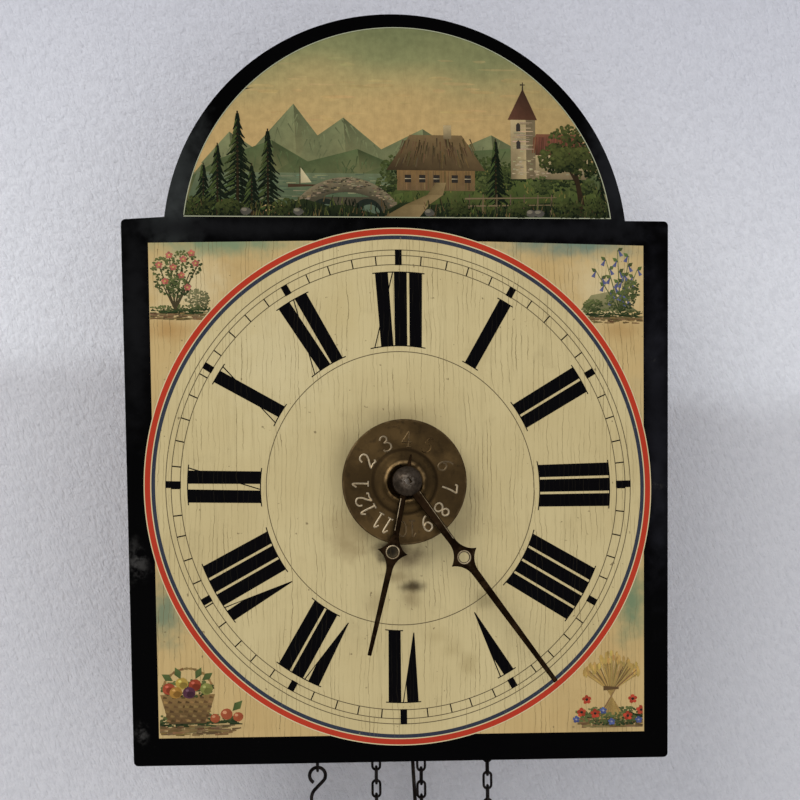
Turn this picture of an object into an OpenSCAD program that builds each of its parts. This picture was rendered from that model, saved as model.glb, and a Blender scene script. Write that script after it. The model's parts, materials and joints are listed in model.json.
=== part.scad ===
// Shield clock with alarm: painted board dial, wooden movement, two chains and a rear pendulum.
// Millimetres. The origin is the nail hole of the hanger at the wall, +Z is up and the dial faces -Y.

/* [Shield] */
// Width of the shield at its shoulders
shield_top_w = 275; // [262:1:290]
// Width of the shield at its foot
shield_foot_w = 263.5; // [255:0.5:280]
// Height of the shield from foot to shoulders
shield_h = 268.5; // [262:0.5:280]
// Height of the shoulders above the dial centre
shoulder_rise = 132; // [130:1:140]
// Thickness of the shield board
shield_t = 8; // [6:0.5:12]
// Radius of the arch
arch_r = 115.5; // [108:0.5:122]
// Rise of the arch above the shoulders
arch_rise = 104.5; // [95:0.5:108]

/* [Case] */
// Height of the nail hole above the dial centre
hang_drop = 110; // [108:1:116]
// Room between the great wheel and the side door
case_room = 1.85; // [1.5:0.05:8]
// Thickness of the top and bottom boards
board_t = 8; // [6:0.5:10]
// Inside height of the case above the dial centre
case_rise = 86; // [84:1:90]
// Inside height of the case below the dial centre
case_drop = 114; // [108:1:116]
// Thickness of the front and rear plates
plate_t = 10; // [8:0.5:12]
// Gap between the case and the wall, where the pendulum swings
standoff = 28; // [26:1:36]
// Gap between the plates, where the trains run
train_gap = 48; // [46:1:54]
// Gap between the front plate and the shield, for the motion work
motion_gap = 18; // [17.5:0.5:24]
// Side of the square wall spacers
spacer_w = 14; // [10:1:18]
// Distance of each wall spacer from the middle
spacer_x = 50; // [40:1:54]
// Depth of the battens behind the shield
batten_d = 10; // [8:0.5:12]
// Height of the battens
batten_h = 12; // [10:0.5:12.5]
// Length of the battens
batten_w = 120; // [100:1:160]

/* [Doors] */
// Thickness of the side doors
door_t = 5; // [4:0.5:7]
// Clearance round a door
door_gap = 0.6; // [0.4:0.1:1]
// Radius of the hinge pins
hinge_r = 1; // [0.8:0.1:1.2]
// Length of a hinge pin
hinge_len = 14; // [10:1:18]
// Radius of the door knobs
knob_r = 4; // [3:0.5:6]

/* [Hanger] */
// Width of the hanger strap
strap_w = 16; // [14:1:22]
// Thickness of the hanger strap
strap_t = 2.5; // [2:0.5:4]
// Length of strap that lies on the top board
strap_seat = 26; // [22:1:30]
// Radius of the nail hole
nail_r = 3; // [2.5:0.25:4]

/* [Fits] */
// Clearance of a piece pushed on another
push_fit = 0.02; // [0.01:0.01:0.04]
// Running clearance of pivots and pipes
run_play = 0.05; // [0.03:0.01:0.09]
// Radius of a screw shank
screw_r = 1.5; // [1.2:0.1:2]
// Radius of a screw head
screw_head_r = 3.5; // [3:0.25:4]

/* [Train] */
// Radius of the arbors
arbor_r = 2.5; // [2:0.1:2.6]
// Radius of the pivots
pivot_r = 1.2; // [1:0.1:1.5]
// Length of the pivots
pivot_len = 6; // [5:0.5:7]
// Outer radius of the pivot bushes
bush_r = 3.5; // [3:0.25:4]
// Thickness of the train wheels
wheel_t = 2; // [1.5:0.25:2.5]
// Teeth on each train wheel
wheel_teeth = 72; // [72:72]
// Trundles of the centre lantern pinion
centre_pins = 12; // [12:12]
// Trundles of the third and escape lantern pinions
fast_pins = 7; // [7:7]
// Tooth module of the great wheel
great_mod = 0.9; // [0.89:0.005:0.93]
// Tooth module of the centre wheel
centre_mod = 0.75; // [0.73:0.005:0.77]
// Tooth module of the third wheel
third_mod = 0.65; // [0.63:0.005:0.67]
// Radius of a trundle as a share of its tooth module
pin_share = 0.68; // [0.6:0.02:0.7]
// Free play of a trundle between teeth
pin_play = 0.1; // [0.06:0.01:0.16]
// Distance of the great arbor to the right of the dial centre
great_x = 34.5; // [33.5:0.25:35.5]
// Angle of the third arbor round the dial centre
third_angle = 48; // [46:1:52]
// Distance of the escape arbor to the right of the dial centre
escape_x = 8; // [6:0.5:10]
// Tip radius of the escape wheel
escape_r = 16; // [15:0.25:16.5]
// Teeth of the escape wheel
escape_teeth = 30; // [30:30]
// Gap from the front plate to the centre wheel
centre_wheel_set = 4; // [3.5:0.25:4.5]
// Gap between the third wheel and the going chain wheel
third_wheel_gap = 1.2; // [0.8:0.1:1.6]
// Gap from the rear plate to the escape wheel
escape_wheel_set = 8; // [7:0.5:9]

/* [Pendulum] */
// Half of the pendulum's swing in degrees
swing = 3; // [2:0.25:3.5]
// Length from the pivot to the middle of the bob
pendulum_len = 320; // [300:1:330]
// Radius of the rod
rod_r = 1; // [0.8:0.1:1.2]
// Radius of the bob
bob_r = 28; // [22:1:32]
// Thickness of the bob
bob_t = 8; // [6:0.5:10]

/* [Alarm] */
// Distance of the alarm arbor to the left of the dial centre
alarm_x = 21.7; // [20.5:0.1:23]
// Depth of the alarm arbor below the dial centre
alarm_drop = 23.4; // [22.5:0.1:25]
// Tip radius of the alarm wheel
alarm_r = 19; // [18.5:0.25:20]
// Teeth of the alarm wheel
alarm_teeth = 24; // [24:24]
// Swing of the hammer towards and away from the bell in degrees
hammer_swing = 7.2; // [6:0.2:7.5]
// Part of that swing left before the hammer meets the bell
hammer_fall = 1.2; // [0.8:0.1:1.3]
// Gap between the hammer at rest and the bell
strike_gap = 3; // [2.8:0.1:4]
// Radius of the bell
bell_r = 30; // [26:0.5:32]
// Wall of the bell
bell_wall = 2; // [1.5:0.25:3]
// Gap between the top board and the mouth of the bell
bell_lift = 10; // [8:0.5:14]
// Radius of the alarm cam
cam_r = 12; // [11:0.25:13]

/* [Hands and disc] */
// Radius of the centre post
post_r = 2; // [1.8:0.05:2.2]
// Wall of each of the nested pipes
pipe_wall = 1.15; // [1:0.05:1.25]
// Clearance of the pipes in the shield
shield_hole_play = 0.9; // [0.5:0.1:1.5]
// Distance from the shield to the back of the alarm disc
disc_set = 14; // [12:0.5:15]
// Radius of the alarm disc
disc_r = 30.8; // [28:0.2:32]
// Thickness of the alarm disc
disc_t = 1.2; // [1:0.1:1.5]
// Distance from the disc to the back of the hour hand
hour_hand_set = 5; // [4.5:0.25:6]
// Distance from the hour hand to the back of the minute hand
minute_hand_set = 3.5; // [3:0.25:4]
// Thickness of the hands
hand_t = 1.2; // [1:0.1:1.5]
// Length of the hour hand
hour_hand_len = 87; // [80:1:95]
// Length of the minute hand
minute_hand_len = 122; // [112:1:124]
// Time shown, hours
time_h = 6; // [0:1:11]
// Time shown, minutes
time_m = 24; // [0:1:59]
// Radius of the hand nut
nut_r = 7.2; // [6.5:0.1:8]
// Height of the hand nut
nut_h = 3.5; // [3:0.25:5]

/* [Motion work] */
// Tooth module of the cannon pinion and minute wheel
quarter_mod = 1; // [0.98:0.005:1.02]
// Teeth of the two small pinions
small_teeth = 12; // [12:12]
// Teeth of the minute wheel
minute_teeth = 36; // [36:36]
// Teeth of the hour wheel
hour_teeth = 48; // [48:48]
// Backlash between the gears
backlash = 0.16; // [0.1:0.02:0.2]

/* [Chains] */
// Distance from link to link
link_pitch = 7; // [6.9:0.05:7.1]
// Thickness of the link wire
link_wire = 1.3; // [1.2:0.05:1.35]
// Width of a link
link_w = 5.3; // [5.1:0.05:5.5]
// Slack between two linked wires
link_slack = 0.3; // [0.25:0.05:0.35]
// Links lie this much closer together on a wheel than when they hang
wheel_slack = 0.2; // [0.15:0.05:0.25]
// Links round the going chain wheel
going_links = 16; // [16:16]
// Links round the alarm chain wheel
alarm_links = 14; // [14:14]
// Turn of the going chain on its wheel, in links
going_phase = -0.28; // [-0.4:0.02:0]
// Lead of the alarm wheel's pegs on the middle of their links, in links
alarm_peg_lead = 0.09; // [0.08:0.01:0.1]
// Clearance of a peg in its link
peg_play = 0.55; // [0.5:0.05:0.6]
// Side of the chain slots in the bottom board
slot_w = 11; // [9:0.5:12]
// Thickness of the flanges of a chain wheel
flange_t = 1.5; // [1.2:0.1:1.75]
// Side clearance of the links between the flanges
link_side_play = 0.65; // [0.5:0.05:0.7]
// Links that hang below the going wheel on the weight side
weight_links = 23; // [23:2:25]
// Thickness of the hook wire
hook_wire = 1.8; // [1.6:0.1:2]
// Radius of the pull rings to the middle of the wire
ring_r = 9; // [8:0.5:11]
// Thickness of the pull rings
ring_wire = 2.4; // [2:0.1:3]
// Radius of the going weight
going_weight_r = 22; // [18:1:24]
// Height of the going weight
going_weight_h = 90; // [70:1:100]
// Radius of the alarm weight
alarm_weight_r = 17; // [14:1:18]
// Height of the alarm weight
alarm_weight_h = 70; // [60:1:90]

/* [Hidden] */
$fn = 48;

// Planes of the case from the wall to the shield
rear_back = -standoff;
rear_front = rear_back - plate_t;
front_back = rear_front - train_gap;
front_front = front_back - plate_t;
shield_back = front_front - motion_gap;
shield_front = shield_back - shield_t;
chain_y = (rear_front + front_back) / 2;
pendulum_y = -standoff / 2;

// Case sizes from the great wheel and the boards
great_pitch_r = great_mod * wheel_teeth / 2;
centre_pin_r = great_mod * centre_pins / 2;
great_roll = 42;
great_tip_r = norm(flank(great_pitch_r, centre_pin_r, great_mod * pin_share + pin_play, great_roll));
case_w = 2 * (great_x + great_tip_r + case_room + door_t);
plate_w = case_w - 2 * (door_t + door_gap);
case_depth = rear_back - shield_back;
top_z = case_rise + board_t;
foot_z = -case_drop - board_t;
hinge_x = case_w / 2 - door_t / 2;
hinge_y = rear_back - door_t / 2 - door_gap;
shield_foot_z = shoulder_rise - shield_h;
arch_z = shoulder_rise + arch_rise - arch_r;
screw_len = 20;
screw_head_h = 2;
strap_screw_x = [-strap_seat / 4, strap_seat / 4];
batten_screw_x = batten_w / 2 - 12;

// Places of the arbors from the dial centre
centre_pitch_r = centre_mod * wheel_teeth / 2;
third_pin_r = centre_mod * fast_pins / 2;
third_pitch_r = third_mod * wheel_teeth / 2;
escape_pin_r = third_mod * fast_pins / 2;
great_z = -sqrt(pow(great_pitch_r + centre_pin_r, 2) - pow(great_x, 2));
third_x = (centre_pitch_r + third_pin_r) * cos(third_angle);
third_z = (centre_pitch_r + third_pin_r) * sin(third_angle);
escape_z = third_z + sqrt(pow(third_pitch_r + escape_pin_r, 2) - pow(third_x - escape_x, 2));
pallet_angle = 45;
anchor_z = escape_z + escape_r / cos(pallet_angle);
alarm_z = -alarm_drop;
alarm_pallet_angle = 33.75;
alarm_lean = 30;
hammer_reach = alarm_r / cos(alarm_pallet_angle);
hammer_x = -alarm_x - hammer_reach * sin(alarm_lean);
hammer_z = alarm_z + hammer_reach * cos(alarm_lean);
great_angle = atan2(-great_z, -great_x);
escape_angle = atan2(escape_z - third_z, escape_x - third_x);

// Planes of the trains
side_gap = 0.2;
click_t = 1.6;
ratchet_t = 2;
chain_wheel_w = link_w + 2 * link_side_play + 2 * flange_t;
great_back = chain_y - chain_wheel_w / 2 - ratchet_t - side_gap;
centre_wheel_back = front_back + centre_wheel_set + wheel_t;
third_wheel_back = chain_y + chain_wheel_w / 2 + third_wheel_gap + wheel_t;
escape_back = rear_front - escape_wheel_set;
escape_t = 1.5;
pallet_t = 2.5;
shroud_t = 1.5;
pin_len = 4;
end_play = 0.2;

// Nested pipes of the hands
cannon_r = post_r + run_play + pipe_wall;
hour_pipe_r = cannon_r + run_play + pipe_wall;
alarm_pipe_r = hour_pipe_r + run_play + pipe_wall;
disc_back = shield_front - disc_set;
hour_hand_back = disc_back - hour_hand_set;
minute_hand_back = hour_hand_back - hand_t - minute_hand_set;
nut_back = minute_hand_back - hand_t;
pipe_end = 0.6;
gear_t = 2;
cannon_gear_t = 4.5;
gear_gap = 1.5;
minute_wheel_back = front_front - gear_gap - gear_t;
hour_wheel_back = minute_wheel_back - gear_t - gear_gap - gear_t;
cam_t = 2.5;
cam_back = shield_back + gear_gap + cam_t;
motion_reach = quarter_mod * (small_teeth + minute_teeth) / 2;
hour_mod = 2 * motion_reach / (small_teeth + hour_teeth);
stud_r = 1.5;
minute_turn = 6 * time_m;
hour_turn = 30 * time_h + time_m / 2;

// Alarm detent lever
detent_x = -14;
detent_z = 22;
detent_gap = 0.3;
detent_arm = 3;
detent_slot_r = 5;
detent_pin_x = -16;
detent_pin_z = -14;

// Pendulum and its suspension
suspension_r = 1.2;
eye_r = 3.2;
eye_t = 3;
crutch_len = 45;
crutch_t = 2;
crutch_y = rear_back + 6;

// Bell and hammer
hammer_head_r = 4;
hammer_head_len = 10;
hammer_wire_r = 1;
strike_h = 4;
bell_x = hammer_x + hammer_head_len / 2 + strike_gap + sqrt(pow(bell_r, 2) - pow(strike_h, 2));
bell_z = top_z + bell_lift;
bell_post_r = 3;
hammer_mid = hammer_swing / 2 - hammer_fall;

// Chains
link_len = link_pitch + 2 * link_wire + link_slack;
link_mean_r = (link_w - link_wire) / 2;
going_chain_r = (link_pitch - wheel_slack) / (2 * sin(180 / going_links));
alarm_chain_r = (link_pitch - wheel_slack) / (2 * sin(180 / alarm_links));
hang_step = link_len / 2 - link_wire / 2;
alarm_weight_links = 17;
alarm_ring_links = 20;
going_ring_links = 23;
hook_r = 4.1;
hook_low_r = 6.4;
hook_shank = 6;

// Flat shapes are drawn with x to the right and y up, then thickened from a back plane towards the front
module slab(back, thick) {
    translate([0, back, 0]) rotate([90, 0, 0]) linear_extrude(thick) children();
}

// Moves a piece to a place given from the dial centre
module at(x, z) {
    translate([x, 0, z - hang_drop]) children();
}

module disc_at(x, z, r) {
    translate([x, z]) circle(r);
}

module washer(outer, inner) {
    difference() {
        circle(outer);
        circle(inner);
    }
}

// Middle of a rectangle at its own foot
module bar(w, h) {
    translate([-w / 2, 0]) square([w, h]);
}

function polar(r, a) = r * [cos(a), sin(a)];

// Path of a trundle as the lantern rolls on the wheel, and the flank that leaves it free
function trundle(R, r, t) = polar(R + r, t * r / R) - polar(r, t * r / R + t);
function flank(R, r, free, t) = let (p = trundle(R, r, t), d = polar(R, t * r / R) - p) p + free * d / norm(d);

// Wheel for a lantern pinion, with a gap at angle 0
module lantern_wheel(mod, pins, roll) {
    R = mod * wheel_teeth / 2;
    r = mod * pins / 2;
    free = mod * pin_share + pin_play;
    half = 180 / wheel_teeth;
    root_r = R - free - pin_play;
    rise = [for (s = [0.3, 0.65, 1]) flank(R, r, free, s * roll)];
    side = [for (p = rise) [norm(p), min(atan2(p[1], p[0]), half * 0.85)]];
    foot = asin(free / R);
    polygon([for (i = [0:wheel_teeth - 1]) let (a = i * 2 * half) each concat(
        [polar(root_r, a + foot), polar(R, a + foot)],
        [for (p = side) polar(p[0], a + p[1])],
        [for (k = [2:-1:0]) polar(side[k][0], a + 2 * half - side[k][1])],
        [polar(R, a + 2 * half - foot), polar(root_r, a + 2 * half - foot)])]);
}

// Rim, arms and hub cut out of a wheel
module crossed(rim_r, hub, arms, arm_w) {
    difference() {
        children();
        difference() {
            washer(rim_r, hub);
            for (i = [0:arms - 1]) rotate(i * 360 / arms) translate([0, -arm_w / 2]) square([rim_r + 1, arm_w]);
        }
    }
}

// Involute gear with a tooth at angle 0
pressure = 25;
function involute(a) = tan(a) * 180 / PI - a;
module gear(teeth, mod) {
    r = mod * teeth / 2;
    base = r * cos(pressure);
    root = r - 1.05 * mod;
    tip = r + 0.8 * mod;
    start = max(base, root) + 0.01;
    function half(q) = 90 / teeth - backlash / r * 90 / PI + involute(pressure) - involute(acos(base / q));
    levels = [start, r, (r + tip) / 2, tip];
    polygon([for (i = [0:teeth - 1]) let (a = i * 360 / teeth) each concat(
        [polar(root, a - half(start))],
        [for (q = levels) polar(q, a - half(q))],
        [for (k = [3:-1:0]) polar(levels[k], a + half(levels[k]))],
        [polar(root, a + half(start))])]);
}

// Pointed escape teeth that lean the way the wheel turns, with a tip at angle 0
module escape_teeth_shape(tip_r, teeth, depth) {
    step = 360 / teeth;
    polygon([for (i = [0:teeth - 1]) each [polar(tip_r - depth, i * step - 0.6 * step),
        polar(tip_r, i * step - 0.06 * step), polar(tip_r, i * step + 0.06 * step),
        polar(tip_r - depth, i * step + 0.12 * step)]]);
}

// Two-armed anchor above a wheel of that tip radius, drawn at mid swing round the wheel's centre
nib_gap = 0.12;
nib_h = 3.4;
nib_w = 1.4;
pallet_arm_w = 2;
module pallets(tip_r, angle, hub) {
    reach = tip_r / cos(angle);
    joined = tip_r + nib_gap + nib_h - pallet_arm_w / 2;
    for (s = [-1, 1]) {
        rotate(s * angle) translate([-nib_w / 2, tip_r + nib_gap]) square([nib_w, nib_h]);
        end = [-s * joined * sin(angle), joined * cos(angle) - reach];
        translate([0, reach]) rotate(atan2(end[1], end[0]))
            translate([0, -pallet_arm_w / 2]) square([norm(end), pallet_arm_w]);
    }
    disc_at(0, reach, hub);
}

// Steel arbor between the plates with a pivot at each end
module plain_arbor() {
    slab(rear_front - end_play, train_gap - 2 * end_play) circle(arbor_r);
    slab(rear_front + pivot_len, train_gap + 2 * pivot_len) circle(pivot_r);
}

// Arbor with a lantern pinion that has a trundle at angle 0, thinner between the shrouds to clear the teeth
module lantern(mid_y, mod, pins) {
    r = mod * pins / 2;
    pin = mod * pin_share;
    difference() {
        plain_arbor();
        slab(mid_y + pin_len / 2, pin_len) washer(arbor_r + 1, pivot_r);
    }
    for (s = [0, 1]) slab(mid_y + (s == 0 ? pin_len / 2 + shroud_t : -pin_len / 2), shroud_t) circle(r + pin + 0.5);
    for (i = [0:pins - 1]) slab(mid_y + pin_len / 2 + shroud_t / 2, pin_len + shroud_t)
        rotate(i * 360 / pins) disc_at(r, 0, pin);
}

module screw(shank) {
    cylinder(r = screw_head_r, h = screw_head_h);
    translate([0, 0, -shank]) cylinder(r = screw_r, h = shank);
}

// Case

module shield_outline() {
    polygon([[-shield_foot_w / 2, shield_foot_z], [shield_foot_w / 2, shield_foot_z],
        [shield_top_w / 2, shoulder_rise], [-shield_top_w / 2, shoulder_rise]]);
    difference() {
        disc_at(0, arch_z, arch_r);
        translate([-shield_top_w, shoulder_rise - shield_top_w]) square([2 * shield_top_w, shield_top_w]);
    }
}

module shield_board() {
    color("black") at(0, 0) slab(shield_back, shield_t) difference() {
        shield_outline();
        circle(alarm_pipe_r + shield_hole_play);
    }
}

module batten_screw_places() {
    for (x = [-batten_screw_x, batten_screw_x]) {
        at(x, top_z + batten_h) translate([0, shield_back + batten_d / 2, 0]) children();
        at(x, foot_z - batten_h) translate([0, shield_back + batten_d / 2, 0]) rotate([180, 0, 0]) children();
    }
}

module screw_hole() {
    translate([0, 0, -screw_len - 1]) cylinder(r = screw_r + push_fit, h = screw_len + 1);
}

module shield_battens() {
    color("burlywood") difference() {
        at(0, 0) for (z = [top_z, foot_z - batten_h])
            slab(shield_back + batten_d, batten_d) translate([0, z]) bar(batten_w, batten_h);
        batten_screw_places() screw_hole();
    }
}

module batten_screws() {
    color("dimgray") batten_screw_places() screw(screw_len);
}

module board(z) {
    at(0, z) translate([-case_w / 2, shield_back, 0]) cube([case_w, case_depth, board_t]);
}

module hinge_places() {
    for (x = [-hinge_x, hinge_x], z = [-case_drop, case_rise]) at(x, z) translate([0, hinge_y, 0]) children();
}

module hinge_hole(play) {
    cylinder(r = hinge_r + play, h = hinge_len, center = true);
}

module strap_screw_places() {
    for (x = strap_screw_x) at(0, top_z + strap_t)
        translate([0, rear_back - strap_seat / 2 + x, 0]) children();
}

strap_screw_len = 9;
module strap_screw_hole() {
    translate([0, 0, -strap_screw_len]) cylinder(r = screw_r + push_fit, h = strap_screw_len + 1);
}

hammer_slot = [hammer_wire_r + 12, hammer_wire_r + 5];
module top_board() {
    color("peru") difference() {
        board(case_rise);
        hinge_places() hinge_hole(push_fit);
        strap_screw_places() strap_screw_hole();
        batten_screw_places() screw_hole();
        at(bell_x, case_rise) translate([0, chain_y, -1]) cylinder(r = bell_post_r + push_fit, h = board_t + 2);
        at(hammer_x, case_rise) translate([-hammer_slot[0], chain_y - 3, -1])
            cube([hammer_slot[0] + hammer_slot[1], 6, board_t + 2]);
    }
}

module strand_places() {
    for (s = [-1, 1]) {
        at(great_x + s * going_chain_r, -case_drop) translate([0, chain_y, 0]) children();
        at(-alarm_x + s * alarm_chain_r, -case_drop) translate([0, chain_y, 0]) children();
    }
}

module bottom_board() {
    color("peru") difference() {
        board(foot_z);
        hinge_places() hinge_hole(push_fit);
        batten_screw_places() screw_hole();
        strand_places() translate([-slot_w / 2, -slot_w / 2, -board_t - 1]) cube([slot_w, slot_w, board_t + 2]);
    }
}

module arbor_places() {
    disc_list = [[great_x, great_z], [0, 0], [third_x, third_z], [escape_x, escape_z], [escape_x, anchor_z],
        [-alarm_x, alarm_z], [hammer_x, hammer_z]];
    for (p = disc_list) translate(p) children();
}

module plate_outline() {
    difference() {
        translate([0, -case_drop]) bar(plate_w, case_rise + case_drop);
        arbor_places() circle(bush_r);
    }
}

module front_plate() {
    color("burlywood") at(0, 0) slab(front_back, plate_t) difference() {
        plate_outline();
        disc_at(0, -motion_reach, stud_r + push_fit);
        disc_at(detent_x, detent_z, stud_r + push_fit);
        disc_at(detent_x + detent_pin_x, detent_z + detent_pin_z, detent_slot_r);
    }
}

module rear_plate() {
    color("burlywood") at(0, 0) slab(rear_back, plate_t) plate_outline();
}

module wall_spacers() {
    color("burlywood") for (x = [-spacer_x, spacer_x]) at(x, -case_drop)
        slab(0, standoff) bar(spacer_w, spacer_w);
}

module pivot_bushes() {
    color("goldenrod") at(0, 0) for (y = [rear_back, front_back]) slab(y, plate_t) difference() {
        arbor_places() circle(bush_r);
        arbor_places() circle(pivot_r + run_play);
        if (y == front_back) circle(post_r + run_play);
    }
}

module hanger_strap() {
    color("dimgray") difference() {
        union() {
            at(0, top_z) translate([-strap_w / 2, rear_back - strap_seat, 0])
                cube([strap_w, strap_seat + standoff, strap_t]);
            at(0, 0) slab(0, strap_t) {
                translate([0, top_z]) bar(strap_w, hang_drop - top_z);
                disc_at(0, hang_drop, strap_w / 2);
            }
        }
        at(0, 0) slab(1, strap_t + 2) disc_at(0, hang_drop, nail_r);
        strap_screw_places() strap_screw_hole();
    }
}

module hanger_screws() {
    color("gray") strap_screw_places() screw(strap_screw_len);
}

// Side doors

module door(side) {
    door_h = case_rise + case_drop - 2 * door_gap;
    front_y = shield_back + door_gap;
    color("peru") difference() {
        at(side * hinge_x, door_gap - case_drop) {
            translate([-door_t / 2, front_y, 0]) cube([door_t, hinge_y - front_y, door_h]);
            translate([0, hinge_y, 0]) cylinder(r = door_t / 2, h = door_h);
        }
        hinge_places() hinge_hole(run_play);
    }
}

module left_door() {
    door(-1);
}

module right_door() {
    door(1);
}

module door_knob(side) {
    neck = knob_r;
    color("saddlebrown") at(side * case_w / 2, 0) translate([0, shield_back + 14, 0]) rotate([0, side * 90, 0]) {
        cylinder(r = knob_r / 2, h = neck);
        translate([0, 0, neck + knob_r / 2]) sphere(knob_r);
    }
}

module left_door_knob() {
    door_knob(-1);
}

module right_door_knob() {
    door_knob(1);
}

module door_hinge_pins() {
    color("gray") hinge_places() hinge_hole(0);
}

// Going train

module great_arbor() {
    color("silver") at(great_x, great_z) plain_arbor();
}

module great_wheel() {
    color("gold") at(great_x, great_z) slab(great_back, wheel_t) difference() {
        crossed(great_pitch_r - 4, 9, 4, 5) rotate(great_angle) lantern_wheel(great_mod, centre_pins, great_roll);
        circle(arbor_r + push_fit);
    }
}

// Ratchet and click share a turn that puts the click's pivot on an arm of its wheel
ratchet_r = 8;
ratchet_teeth = 12;
ratchet_depth = 1.6;
click_turn = 36;
module ratchet() {
    step = 360 / ratchet_teeth;
    rotate(click_turn) polygon([for (i = [0:ratchet_teeth - 1])
        each [polar(ratchet_r, i * step), polar(ratchet_r - ratchet_depth, i * step + 3)]]);
}

// Sheave with pegs that enter every other link of the chain
module chain_wheel(r, links, phase) {
    core_r = r - link_w / 2 - 0.45;
    flange_r = r + 1.5;
    peg_r = (link_w - 2 * link_wire) / 2 - peg_play;
    difference() {
        union() {
            slab(chain_y + chain_wheel_w / 2, chain_wheel_w) circle(core_r);
            for (y = [chain_y + chain_wheel_w / 2, chain_y - chain_wheel_w / 2 + flange_t])
                slab(y, flange_t) circle(flange_r);
            slab(chain_y - chain_wheel_w / 2, ratchet_t) ratchet();
            for (i = [1:2:links]) rotate([0, (i + phase) * 360 / links - 90, 0])
                translate([0, chain_y, core_r - 1]) cylinder(r = peg_r, h = r - core_r + 1);
        }
        slab(0, -shield_front) circle(arbor_r + push_fit);
    }
}

module going_chain_wheel() {
    color("peru") at(great_x, great_z) chain_wheel(going_chain_r, going_links, going_phase);
}

// Click on the face of a wheel, its tip in a ratchet tooth
click_pivot_r = 1.6;
click_w = 1.2;
module click() {
    tip = polar(ratchet_r - 1, 6);
    pivot = polar(ratchet_r + 5, 54);
    run = pivot - tip;
    slab(great_back + click_t, click_t) rotate(click_turn) {
        translate(pivot) circle(click_pivot_r);
        translate(tip) rotate(atan2(run[1], run[0])) translate([0, -click_w]) square([norm(run), click_w]);
    }
}

module going_click() {
    color("silver") at(great_x, great_z) click();
}

module centre_arbor() {
    color("silver") at(0, 0) {
        slab(front_back, front_back - hour_hand_back) circle(post_r);
        rotate([0, -great_angle - 180, 0]) lantern(great_back - wheel_t / 2, great_mod, centre_pins);
    }
}

fast_roll = 55;
module centre_wheel() {
    color("gold") at(0, 0) slab(centre_wheel_back, wheel_t) difference() {
        crossed(centre_pitch_r - 4, 8, 4, 4.5) rotate(third_angle) lantern_wheel(centre_mod, fast_pins, fast_roll);
        circle(arbor_r + push_fit);
    }
}

module third_arbor() {
    color("silver") at(third_x, third_z) rotate([0, -third_angle - 180, 0])
        lantern(centre_wheel_back - wheel_t / 2, centre_mod, fast_pins);
}

module third_wheel() {
    color("gold") at(third_x, third_z) slab(third_wheel_back, wheel_t) difference() {
        crossed(third_pitch_r - 4, 7, 4, 4) rotate(escape_angle) lantern_wheel(third_mod, fast_pins, fast_roll);
        circle(arbor_r + push_fit);
    }
}

module escape_arbor() {
    color("silver") at(escape_x, escape_z) rotate([0, -escape_angle - 180, 0])
        lantern(third_wheel_back - wheel_t / 2, third_mod, fast_pins);
}

module escape_wheel() {
    left_nib = 90 + pallet_angle;
    color("gold") at(escape_x, escape_z) slab(escape_back, escape_t) difference() {
        crossed(escape_r - 5, 6, 4, 3) rotate(left_nib + 180 / escape_teeth)
            escape_teeth_shape(escape_r, escape_teeth, 2.6);
        circle(arbor_r + push_fit);
    }
}

// Anchor, crutch and pendulum, drawn at the right-hand end of the swing

module on_swing() {
    at(escape_x, anchor_z) rotate([0, -swing, 0]) children();
}

module anchor_arbor() {
    color("silver") on_swing() {
        plain_arbor();
        slab(crutch_y + crutch_t, crutch_y + crutch_t - rear_front) circle(pivot_r);
    }
}

module anchor() {
    color("silver") on_swing() slab(escape_back + (pallet_t - escape_t) / 2, pallet_t) difference() {
        translate([0, escape_z - anchor_z]) pallets(escape_r, pallet_angle, arbor_r + 2);
        circle(arbor_r + push_fit);
    }
}

fork_r = 0.8;
fork_gap = 0.3;
module crutch() {
    color("silver") on_swing() {
        slab(crutch_y, crutch_t) difference() {
            union() {
                circle(pivot_r + 2);
                translate([0, -crutch_len]) bar(3, crutch_len);
                translate([0, -crutch_len - 1.5]) bar(2 * (rod_r + fork_gap + 2 * fork_r) + 1, 3);
            }
            circle(pivot_r + push_fit);
        }
        for (s = [-1, 1]) slab(pendulum_y + rod_r + 2, pendulum_y + rod_r + 2 - crutch_y + crutch_t / 2)
            disc_at(s * (rod_r + fork_gap + fork_r), -crutch_len, fork_r);
    }
}

// Brass bracket on the rear plate with the pin that the pendulum hangs on
module suspension_cock() {
    cheek_t = 2;
    cheek_y = pendulum_y + eye_t / 2 + 2 + cheek_t;
    rise = 8;
    color("goldenrod") at(escape_x, anchor_z) {
        slab(rear_back + cheek_t, cheek_t) translate([0, rise]) bar(14, 8);
        slab(cheek_y, cheek_y - rear_back) translate([0, rise]) bar(6, 3);
        slab(cheek_y, cheek_t) translate([0, -suspension_r - 1]) bar(6, rise + 3 + suspension_r + 1);
        slab(cheek_y, cheek_y - pendulum_y + eye_t / 2 + 0.6) circle(suspension_r);
    }
}

module pendulum_rod() {
    low = bob_r + 14;
    color("dimgray") on_swing() {
        slab(pendulum_y + eye_t / 2, eye_t) washer(eye_r, suspension_r + run_play);
        translate([0, pendulum_y, -pendulum_len - low]) cylinder(r = rod_r, h = pendulum_len + low - eye_r + 0.6);
    }
}

module pendulum_bob() {
    cap_r = (pow(bob_r, 2) + pow(bob_t / 2, 2)) / bob_t;
    rings = 8;
    face = [for (i = [0:rings]) let (r = bob_r * i / rings) [r, sqrt(pow(cap_r, 2) - r * r) - cap_r + bob_t / 2]];
    rim = 0.4;
    color("goldenrod") on_swing() translate([0, pendulum_y, -pendulum_len]) difference() {
        rotate([90, 0, 0]) rotate_extrude() polygon(concat([for (p = face) [p[0], p[1] + rim]],
            [for (i = [rings:-1:0]) [face[i][0], -face[i][1] - rim]]));
        cylinder(r = rod_r + push_fit, h = 2 * bob_r + 2, center = true);
    }
}

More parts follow.
